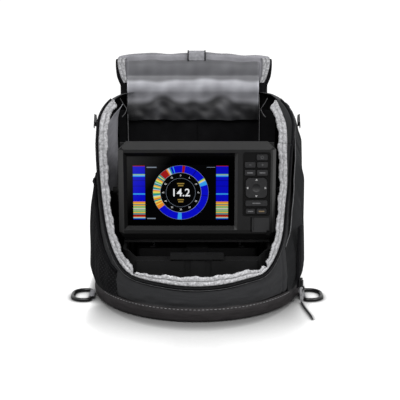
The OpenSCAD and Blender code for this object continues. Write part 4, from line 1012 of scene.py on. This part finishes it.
# %% Upper flap
up = np.linspace(0.8, 39, 40)
arc = np.linspace(0, math.pi, 15)
hang = np.linspace(269, 133, 60)
line_up = np.concatenate([
    np.stack(standing(up, 2.5), 1),
    np.stack([FOLD[0] - 4.4 * np.cos(arc), 269.6 + 1.2 * np.sin(arc)], 1)[1:-1],
    np.stack([FOLD[0] + 4.5 + 0 * hang, hang], 1)])
behind = line_up[:, 0] > FOLD[0]
edge_l, edge_r = flap_edges(line_up[:, 1], behind)
steps = np.arange(len(line_up))
thick_up = 1.9 * ease((steps + 2) / 6) * ease((len(steps) + 1 - steps) / 6)
flap_upper = padded_sheet("flap_upper", line_up, edge_l, edge_r, thick_up, None, flap_cloth)
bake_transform(flap_upper)
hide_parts("flap_standing", "flap_middle")
print("upper flap:", round(float(run_length(line_up)[-1])), "mm from hinge to bend")

# %% Strips beside the flap
def side_cloth_strip(name, side, x_in):
    """A black strip of the outer cloth that wraps round one edge of the standing part and shows beside the trim."""
    t = np.linspace(-6.0, 38.5, 44)[:, None]
    w = np.linspace(0, 1, 16)[None, :]
    y, z = standing(t, 0.2 - 0.7 * np.sin(math.pi * np.clip(w * 1.4, 0, 1)) + 4.2 * (1 - w) ** 8)
    edge = flap_edges(z, False)[0 if side < 0 else 1]
    x_low = x_in - side * 6.0 * ease((13 - t) / 6)
    x = edge + side * 1.2 * (1 - 2 * w * (1 - w)) + (x_low - edge) * w
    grid = np.stack(np.broadcast_arrays(x, y, z + top_wave(x, z)), -1)
    strip = surface(name, grid, None, zip_cloth, t[:, 0], np.linspace(0, 14, 16), flip=side > 0)
    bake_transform(strip)
    thicken(strip, 0.5)
    min(cloth_area(strip), 0.00077)
    return strip

strips = [side_cloth_strip("flap_edge_left", -1, -87.0), side_cloth_strip("flap_edge_right", 1, 79.5)]
print("strips beside the flap:", len(strips))

# %% Lower flap
FLAP_ROUND, ROUND_X, ROUND_Z = 56.0, 46.5, 67
low = np.r_[np.linspace(136, ROUND_Z, 42), ROUND_Z - FLAP_ROUND * np.sin(np.linspace(0, math.pi / 2, 40))[1:]]
line_low = np.stack([FOLD[0] + 4.5 + 0 * low, low], 1)
reach = np.where(low > ROUND_Z, ROUND_X + FLAP_ROUND,
                 ROUND_X + np.sqrt(np.maximum(FLAP_ROUND ** 2 - (ROUND_Z - low) ** 2, 0)))
steps = np.arange(len(low))
thick_low = 1.9 * ease((steps + 2) / 6) * ease((len(steps) - steps) / 8)
flap_lower = padded_sheet("flap_lower", line_low, -reach, reach, thick_low, None, flap_cloth)
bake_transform(flap_lower)
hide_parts("flap_front")
print("lower flap:", round(float(run_length(line_low)[-1])), "mm")

# %% [markdown]
# ## Trim of the flap
# The flap's edges carry the same quilted trim as the mouth: two short bands up the part that stands, two down its
# back, and one round the part that closes the front. The same profile is carried along each edge. Each band stays
# on one body, so that none of them has to bend.

# %% Flap trim
def side_trim(name, t, x, inward, width, body, back):
    """A puffed band up one edge of the flap, on the face that its lining covers."""
    if back:
        p = np.stack([x, FOLD[0] + 6.4 + 0 * t, t], 1)
        face = np.broadcast_to(np.array([0, 1.0, 0]), p.shape)
    else:
        y, z = standing(t, -0.4)
        p = np.stack([x, y, z + top_wave(x, z)], 1)
        face = np.broadcast_to(np.array([0, -math.cos(TILT), math.sin(TILT)]), p.shape)
    s = np.abs(t - t[0])
    across = np.broadcast_to(np.array([inward, 0.0, 0.0]), p.shape)
    return puffed_band(name, p, s, across, face, width, 1.3, body)

t_up = np.linspace(8.0, 39.6, 120)
z_up = standing(t_up, -0.4)[1]
drop = ease((38 - t_up) / 34)
l_up, r_up = flap_edges(z_up, False)
trims = [side_trim("flap_trim_left", t_up, l_up + 0.8 + 3.2 * drop, 1.0, 9.4 - 3.2 * drop, "flap_standing", False),
         side_trim("flap_trim_right", t_up, r_up - 0.8 - 3.4 * drop, -1.0, 9.2 - 3.8 * drop, "flap_standing", False)]
z_down = np.linspace(266, 134, 300)
l_dn, r_dn = flap_edges(z_down, True)
trims += [side_trim("flap_back_trim_left", z_down, l_dn + 1.5, 1.0, 11 + 0 * z_down, "flap_middle", True),
          side_trim("flap_back_trim_right", z_down, r_dn - 1.5, -1.0, 11 + 0 * z_down, "flap_middle", True)]
corner = np.linspace(0, math.pi / 2, 120)
r = FLAP_ROUND - 1.5
u_x = np.r_[np.full(80, -ROUND_X - r), -ROUND_X - r * np.cos(corner), np.linspace(-ROUND_X, ROUND_X, 140)[1:-1],
            ROUND_X + r * np.sin(corner), np.full(80, ROUND_X + r)]
u_z = np.r_[np.linspace(120, ROUND_Z + 0.5, 80), ROUND_Z - r * np.sin(corner), np.full(138, ROUND_Z - r),
            ROUND_Z - r * np.cos(corner), np.linspace(ROUND_Z + 0.5, 120, 80)]
u_path = np.stack([u_x, FOLD[0] + 6.4 + 0 * u_x, u_z], 1)
u_run = unit(np.gradient(u_path, axis=0))
u_across = np.stack([-u_run[:, 2], 0 * u_x, u_run[:, 0]], 1)
u_s = run_length(u_path)
trims.append(puffed_band("flap_front_trim", u_path, u_s, u_across, np.broadcast_to([0, 1.0, 0], u_path.shape),
                         11 + 0 * u_s, 1.3, "flap_front"))
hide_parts("flap_edging")
print("flap trims:", len(trims))

# %% [markdown]
# ## Tab on the fold
# A short webbing tab is sewn over the middle of the fold. A box would look stiff there, so it is a strip of
# webbing along a bent line, with a thin dark cord down each edge where the webbing is bound.

# %% Flap tab
tab_line = np.array([[-2.2, 34.0], [-2.3, 37], [-1.9, 41.5], [0.2, 45.5], [4.2, 46.4], [7.4, 44.6]])
tab_y, tab_z = standing(tab_line[:, 1], tab_line[:, 0])
tab_path, tab_s = fine_path(np.stack([0 * tab_y, tab_y, tab_z], 1), 30)
tab_x = np.linspace(-10.6, 9.2, 15)
tab_grid = np.stack(np.broadcast_arrays(tab_x[None, :], tab_path[:, 1:2], tab_path[:, 2:3]), -1)
fold_tab = surface("fold_tab", tab_grid, "flap_standing", webbing, tab_s, tab_x, flip=True)
thicken(fold_tab, 1.1)
cloth_area(fold_tab)
for k, x in enumerate((-10.8, 9.4)):
    rim_path = tab_path * np.array([0, 1, 1]) + np.array([x, -0.3, 0])
    run = unit(np.gradient(rim_path, axis=0))
    out = np.broadcast_to(np.array([1.0, 0, 0]), rim_path.shape)
    piping("fold_tab_rim_%d" % k, rim_path, out, np.cross(run, out), 0.7, zip_cloth,
                           "flap_standing")
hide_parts("flap_tab")
print("tab length:", round(float(tab_s[-1]), 1), "mm")

# %% [markdown]
# ## Satin lining behind the display
# Between the flap and the back wall the lining is cut too long, so the flap can turn. With the flap thrown back
# it bulges at the hinge and hangs in scalloped folds inside the back wall. A woven band runs above it. Its tone
# paints a highlight on the roll and shade down the folds.

# %% Folds and painted light of the satin
SAT_L, SAT_R = -83.5, 73.6

def crown(x):
    """Height where the hanging folds begin: two arches, one on each side of the middle, lower at the ends."""
    u = (x - SAT_L) / (SAT_R - SAT_L)
    arches = np.exp(-((u - 0.27) / 0.11) ** 2) + np.exp(-((u - 0.71) / 0.11) ** 2)
    return 213.5 + 8.5 * arches + 2.5 * np.exp(-((u - 0.5) / 0.06) ** 2) + 0.8 * np.sin(29 * u)

def pleats(x):
    """Where the lining is gathered: a pair of broad pleats stands forward inside the arches."""
    u = (x - SAT_L) / (SAT_R - SAT_L)
    return np.exp(-((u - 0.225) / 0.035) ** 2) + 0.9 * np.exp(-((u - 0.745) / 0.04) ** 2)

def folds(x, z):
    """How far the lining stands forward: long pulls at the hinge, and pleats and creases below the arches."""
    low = ease((crown(x) - z) / 12)
    pulls = ripples(x, z, [(0.5, 0.07, 0.10, 0.3), (0.4, 0.13, -0.17, 1.7), (0.22, 0.31, 0.12, 0.4)])
    creases = ripples(x, z, [(0.35, 0.16, 0.35, 0.3), (0.3, -0.22, 0.27, 1.7), (0.2, 0.43, 0.31, 0.9)])
    return pulls * (0.35 + 0.65 * ease((246 - z) / 10)) + low * (1.8 * pleats(x) + creases)

def satin_light_and_shade(x, z):
    """Painted light and shade on the satin: the upper band is darker cloth, the roll at the hinge has a painted
    highlight, painted shade darkens the hanging folds, most under the arches and at their ends, the pleats are lit, and
    it is paler along each side edge.
    """
    edge = 244.4 + 1.3 * np.sin(x * 0.05 + 1) + 0.7 * np.sin(x * 0.17)
    roll = ease((edge - z) / 4.5)
    fade = ease((233 - z) / 12)
    under = ease((crown(x) - z + 5.5) / 8.5)
    streak = np.sin(x * 0.13 + z * 0.11) * np.sin(x * 0.31 - z * 0.16 + 1)
    tone = (0.34 + 0.66 * roll) * (1 - 0.34 * fade)
    far = ease((np.abs(x - (SAT_L + SAT_R) / 2) - 52) / 20) * ease((214 - z) / 12)
    low = (0.075 + 0.11 * pleats(x) * ease((z - 190) / 16) + 0.02 * streak) * (1 - 0.62 * far)
    from_side = np.minimum(x - SAT_L, SAT_R - x)
    seams = (1 - 0.16 * ease((z - 260.5) / 2)) * (1 + 0.45 * np.exp(-((from_side - 0.6) / 0.7) ** 2))
    return ((tone * (1 + 0.09 * streak)) * (1 - under) + low * under) * seams

print("satin width:", round(SAT_R - SAT_L, 1), "mm")

# %% Satin lining
satin_line = np.concatenate([
    np.stack(standing(np.linspace(34.5, 15.5, 10), -1.4 - 0.9 * np.sin(np.linspace(0, math.pi, 10))), 1),
    np.array([[83.0, 243.8], [80.4, 239.5], [79.0, 234.5], [79.4, 229.5], [81.0, 225.5], [82.0, 221.0], [81.8, 215.0],
              [81.8, 208.0], [82.4, 200.0], [83.6, 194.0]])])
satin_path, satin_s = fine_path(np.stack([0 * satin_line[:, 0], satin_line[:, 0], satin_line[:, 1]], 1), 150)
sx = np.linspace(SAT_L, SAT_R, 260)[:, None]
sz = satin_path[None, :, 2] + 0 * sx
hem = 0.5 * np.sin(sx * 0.11 + 0.5) + 0.3 * np.sin(sx * 0.27)
sides = ease((sx - SAT_L) / 5) * ease((SAT_R - sx) / 5)
satin_grid = np.stack([sx + 0 * sz, satin_path[None, :, 1] - folds(sx, sz) * sides,
                       sz + hem * ease((215 - sz) / 20) + top_wave(sx, sz)], -1)
satin = surface("satin_lining", satin_grid, None, toned(satin_cloth), sx[:, 0], satin_s, flip=True)
# Painted light: a highlight on the roll at the hinge and shade down the hanging folds.
set_tone(satin, satin_light_and_shade(sx, sz))
thicken(satin, 0.5)
min(cloth_area(satin), (SAT_R - SAT_L) * float(satin_s[-1]) * MM * MM)
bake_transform(satin)
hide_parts("flap_pocket", "back_facing")
print("satin lining:", round(float(satin_s[-1])), "mm from band to hem")

# %% [markdown]
# ## Side gussets
# Behind the display a folded black sheet closes each corner between the side and the back, and thin pale lines,
# made as piping, paint the light caught on its folded edges. A folded sheet is a grid with a kink half way. Each
# line is a tube through a few points.

# %% Gusset helpers
def gusset(name, side, x_back, flip):
    """A black sheet folded once, from the side lining to the back wall behind the display."""
    f = np.linspace(0, 1, 40)
    x = np.interp(f, [0, 0.5, 1], [side * 92.0, side * 94.0, x_back])
    y = np.interp(f, [0, 0.5, 1], [61.0, 72.0, 84.5])
    z = np.linspace(120, 207, 50)
    grid = np.stack(np.broadcast_arrays(x[:, None], y[:, None] + 0 * z[None, :], z[None, :]), -1)
    grid[..., 0] += 0.8 * np.sin(z[None, :] * 0.11 + 3 * f[:, None]) * np.sin(math.pi * f[:, None])
    sheet = surface(name, grid, "bag", black_cloth, np.linspace(0, 28, 40), z, flip=flip)
    thicken(sheet, 0.6)
    min(cloth_area(sheet), 0.0026)
    return sheet

def highlight_line(name, points, radius=0.45):
    """A pale line through a few points in space, made as piping: a painted highlight on a folded edge."""
    p, _ = fine_path(np.array(points, float), 60)
    run = unit(np.gradient(p, axis=0))
    out = unit(np.cross(run, np.array([0.3, 0.9, 0.2])))
    line = piping(name, p, out, np.cross(run, out), radius, piping_cloth, "bag")
    return line

print("gusset helpers ready")

# %% Gussets and their painted highlights
gussets = [gusset("gusset_left", -1, -84.5, False), gusset("gusset_right", 1, 75.5, True)]
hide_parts("side_gussets")
GUSSET_HIGHLIGHTS = {
    "gusset_edge_highlight_left": [(-84, 83.0, 226), (-83.4, 82.6, 200), (-83.2, 82.8, 168), (-83, 83, 125)],
    "gusset_edge_highlight_right": [(74.4, 83.0, 226), (74.8, 82.6, 200), (75, 82.8, 168), (75.2, 83, 125)],
    "gusset_crease_highlight_left": [(-92, 76, 222), (-89, 76, 216), (-84, 79, 208), (-87, 77, 202), (-90, 75, 199)],
    "gusset_crease_highlight_right": [(84, 76, 222), (81, 76, 216), (76, 79, 208), (79, 77, 202), (82, 75, 199)]}
lines = [highlight_line(name, points) for name, points in GUSSET_HIGHLIGHTS.items()]
print("gusset pieces:", len(gussets) + len(lines))

# %% [markdown]
# ## Screen
# A sonar dial: a ring that shows the echo at each depth as colour, its scale inside, the depth in the middle and
# two echo columns at the sides. A picture on the glass would need an image file. Here every patch of colour is a
# small flat cell that carries its own colour and glows. The reading is made up.

# %% Screen helpers
def lit_ink(name, strength):
    """A shader that glows with the colour stored in the cells, under the glass's painted glare."""
    mat, tree, shader = new_material(name)
    shader.inputs["Base Color"].default_value = (0.001, 0.001, 0.0012, 1)
    shader.inputs["Roughness"].default_value = 0.4
    shader.inputs["Specular IOR Level"].default_value = 0.02
    shader.inputs["Emission Strength"].default_value = strength
    ink = add_node(tree, "Attribute", attribute_name="ink").outputs["Color"]
    tree.links.new(ink, shader.inputs["Emission Color"])
    return glared(mat, *PAINTED_GLARE)

def cells(name, quads, colours, look, body="display"):
    """Flat four-cornered cells (n, 4, 3), each with one colour (n, 3)."""
    obj = put(name, quads.reshape(-1, 3), np.arange(len(quads) * 4).reshape(-1, 4), body, look, smooth=False)
    layer = obj.data.color_attributes.new("ink", "FLOAT_COLOR", "CORNER")
    rgba = np.concatenate([colours, np.ones((len(colours), 1))], 1)
    layer.data.foreach_set("color", np.repeat(rgba, 4, axis=0).astype(np.float32).ravel())
    return obj

def wheel(inner, outer, a0, a1, depth):
    """Ring cells between two radii and two arrays of angles, clockwise from the top."""
    at = lambda r, a: np.stack([DIAL[0] + r * np.sin(a), depth + 0 * a, DIAL[1] + r * np.cos(a)], -1)
    return np.stack([at(inner, a0), at(inner, a1), at(outer, a1), at(outer, a0)], 1)

def plate(x0, x1, z0, z1, depth):
    """Upright rectangles from arrays of edges."""
    x0, x1, z0, z1 = np.broadcast_arrays(*[np.atleast_1d(np.asarray(v, float)) for v in (x0, x1, z0, z1)])
    y = depth + 0 * x0
    return np.stack([np.stack([x0, y, z0], 1), np.stack([x1, y, z0], 1), np.stack([x1, y, z1], 1),
                     np.stack([x0, y, z1], 1)], 1)

print("screen helpers ready")

# %% Colours of the screen
GLASS_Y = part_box("screen_lens")[0][1] / MM
BACK_Y, INK_Y, DIGIT_Y = GLASS_Y - 0.10, GLASS_Y - 0.16, GLASS_Y - 0.2
DIAL = (-18.4, 128.8)
INK = {"dark": (0.0006, 0.0006, 0.0008), "blue": (0.002, 0.003, 0.50), "deep": (0.002, 0.002, 0.26),
       "pale": (0.42, 0.50, 0.62), "cyan": (0.03, 0.30, 0.75), "teal": (0.02, 0.26, 0.26),
       "green": (0.10, 0.40, 0.12), "yellow": (0.70, 0.60, 0.10), "orange": (0.70, 0.22, 0.02),
       "red": (0.30, 0.008, 0.008), "white": (0.72, 0.74, 0.76), "gold": (0.40, 0.27, 0.06)}
# Degrees round the dial at which each colour begins.
ECHO = [(0, "blue"), (4, "red"), (10, "blue"), (33, "deep"), (36, "blue"), (57, "green"), (59, "yellow"),
        (62, "pale"), (64, "cyan"), (73, "blue"), (96, "deep"), (98, "blue"), (131, "deep"), (133, "blue"),
        (178, "cyan"), (187, "blue"), (232, "orange"), (241, "yellow"), (243, "orange"), (247, "yellow"),
        (250, "teal"), (253, "orange"), (257, "yellow"), (261, "pale"), (263, "teal"), (267, "green"), (269, "yellow"),
        (273, "orange"), (276, "pale"), (278, "teal"), (282, "yellow"), (285, "orange"), (287, "teal"), (291, "pale"),
        (293, "green"), (296, "yellow"), (300, "orange"), (303, "teal"), (307, "yellow"), (309, "teal"), (312, "red"),
        (328, "orange"), (331, "pale"), (335, "teal"), (338, "blue"), (343, "cyan"), (345, "blue")]
tone = np.array([INK[n] for _, n in ECHO])
edges = np.array([a for a, _ in ECHO], float)
turn = np.linspace(0, 360, 361)[:-1]
ring_ink = tone[np.searchsorted(edges, turn, side="right") - 1]
ring_ink = ring_ink * (0.85 + 0.3 * np.abs(np.sin(turn * 1.7)))[:, None]
a0, a1 = np.radians(turn), np.radians(turn + 1)
LOW, HIGH = 97.6, 160.0
column = np.linspace(LOW, HIGH, 79)
depth_a = (HIGH - column[1:]) / 62.4 * 340 + 6
col_ink = tone[np.searchsorted(edges, depth_a, side="right") - 1]
print("echo colours:", len(ECHO), "round the dial,", len(col_ink), "down each column")

# %% Screen picture
def thin_ring(inner, outer, share):
    """A pale ring of the dial at a share of the full brightness."""
    return wheel(inner, outer, a0, a1, INK_Y), np.tile(INK["pale"], (360, 1)) * share

parts = [(plate(-72.6, 35.7, 96.7, 160.8, BACK_Y), np.array([INK["dark"]])),
         (wheel(23.3, 31.2, a0, a1, INK_Y), ring_ink),
         thin_ring(22.9, 23.3, 0.5), thin_ring(31.2, 31.5, 0.35), thin_ring(16.4, 16.8, 0.3),
         (plate(-72.2, -58.6, column[:-1], column[1:], INK_Y), col_ink),
         (plate(21.6, 35.2, column[:-1], column[1:], INK_Y), col_ink * 0.9),
         (plate([-22.4, -21.4, -21.9, -21.2], [-14.4, -15.4, -14.9, -15.6], [138.6, 136.2, 119.9, 117.5],
                [139.9, 137.5, 121.2, 118.8], INK_Y), np.tile(INK["gold"], (4, 1)) * 0.7),
         (plate([-56.6, -56.6, 11.0], [-45.5, -47.0, 20.4], [157.4, 98.0, 157.8], [158.6, 99.2, 158.3], INK_Y),
          np.tile(INK["pale"], (3, 1)) * 0.45)]
quads, colours = [np.concatenate(each) for each in zip(*parts)]
screen = cells("screen_picture", quads, colours, lit_ink("screen_ink", 1.0))
print("screen cells:", len(screen.data.polygons))

# %% [markdown]
# ## Numbers on the dial
# The depth stands in the middle and a scale runs round it. Drawing digits by hand would take many cells. Blender's
# own plain typeface gives them as outlines, which are turned into flat meshes and stood up in front of the dial.

# %% Numbers on the dial
def lettering(name, text, size, place, look, body, bold=0.0):
    """A number in the plain built-in typeface, made into a flat mesh that faces the viewer, centred on a place."""
    curve = bpy.data.curves.new(name, "FONT")
    curve.body = text
    curve.size = size * MM
    curve.offset = bold * MM
    curve.align_x, curve.align_y = "CENTER", "CENTER"
    flat = bpy.data.objects.new(name + "_text", curve)
    bpy.context.scene.collection.objects.link(flat)
    bpy.context.view_layer.update()
    mesh = bpy.data.meshes.new_from_object(flat.evaluated_get(bpy.context.evaluated_depsgraph_get()))
    bpy.data.objects.remove(flat)
    co = np.empty(len(mesh.vertices) * 3, np.float32)
    mesh.vertices.foreach_get("co", co)
    co = co.reshape(-1, 3)
    placed = np.stack([co[:, 0] + place[0] * MM, np.full(len(co), place[1] * MM), co[:, 1] + place[2] * MM], 1)
    mesh.vertices.foreach_set("co", placed.astype(np.float32).ravel())
    mesh.materials.clear()
    mesh.materials.append(look)
    mesh.update()
    obj = bpy.data.objects.new(name, mesh)
    bpy.context.scene.collection.objects.link(obj)
    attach(obj, body)
    return obj

digit_ink, _, digit = new_material("digit_ink")
digit.inputs["Base Color"].default_value = (0.02, 0.02, 0.02, 1)
digit.inputs["Emission Color"].default_value = (0.80, 0.82, 0.84, 1)
digit.inputs["Emission Strength"].default_value = 0.9
numbers = [lettering("depth_reading", "14.2", 12.5, (-18.4, DIGIT_Y, 128.4), digit_ink, "display", 0.16)]
for k in range(12):
    a = math.radians(30 * k)
    numbers.append(lettering("scale_%d" % (k * 5), str(k * 5), 2.6,
                             (DIAL[0] + 19.8 * math.sin(a), DIGIT_Y, DIAL[1] + 19.8 * math.cos(a)),
                             digit_ink, "display"))
print("numbers:", len(numbers))

# %% [markdown]
# ## Signs on the keys
# Real keys carry printed signs. Here they are plain shapes: bars, arrows, plus and minus, and a power ring, each
# a flat print a hair in front of its key, so it goes down with the key.

# %% Sign helpers
def sign(name, triangles, node, look, lift=0.08):
    """Flat triangles (n, 3, 2) given from the key's middle, on the key's front face."""
    low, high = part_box(node)
    mid = (np.array(low) + np.array(high)) / 2 / MM
    t = np.asarray(triangles, float)
    pts = np.stack([t[..., 0] + mid[0], np.full(t.shape[:2], low[1] / MM - lift), t[..., 1] + mid[2]], -1)
    obj = put(name, pts.reshape(-1, 3), np.arange(t.shape[0] * 3).reshape(-1, 3), node, look, smooth=False)
    return obj

def bar(x0, x1, z0, z1):
    """A rectangle as two triangles."""
    return [[(x0, z0), (x1, z0), (x1, z1)], [(x0, z0), (x1, z1), (x0, z1)]]

def arrow(x, z, way, size=1.5):
    """A triangle that points one way in the key's plane."""
    d = np.array(way, float)
    side = np.array([d[1], -d[0]])
    tip, foot = np.array([x, z]) + d * size, np.array([x, z]) - d * size * 0.4
    return [[tuple(tip), tuple(foot - side * size), tuple(foot + side * size)]]

def arc_band(r0, r1, a0, a1, n=16):
    """Part of a ring as triangles, angles in degrees clockwise from the top."""
    a = np.radians(np.linspace(a0, a1, n))
    p = lambda r, k: (r * math.sin(a[k]), r * math.cos(a[k]))
    return [tri for k in range(n - 1) for tri in
            ([p(r0, k), p(r0, k + 1), p(r1, k + 1)], [p(r0, k), p(r1, k + 1), p(r1, k)])]

print("sign helpers ready")

# %% Key signs
BARS = [("left_soft", 3.2, sign_grey), ("right_soft", 3.2, sign_grey), ("select", 4.5, sign_grey),
        ("back", 3.0, sign_grey), ("menu", 3.2, sign_tan)]
dash = bar(-1.4, 1.4, -0.25, 0.25)
signs = [sign("power_sign", arc_band(1.3, 1.7, 35, 325) + bar(-0.2, 0.2, 0.5, 2.0), "power_key", sign_grey),
         sign("zoom_out_sign", dash, "zoom_out_key", sign_grey),
         sign("zoom_in_sign", dash + bar(-0.25, 0.25, -1.4, 1.4), "zoom_in_key", sign_grey)]
signs += [sign(key + "_sign", bar(-half, half, -0.7, 0.7), key + "_key", look) for key, half, look in BARS]
arrows = arrow(0, 9.2, (0, 1)) + arrow(0, -9.2, (0, -1)) + arrow(9.8, 0, (1, 0)) + arrow(-9.8, 0, (-1, 0))
signs.append(sign("pad_signs", arrows, "direction_pad", sign_white))
print("signs:", len(signs))
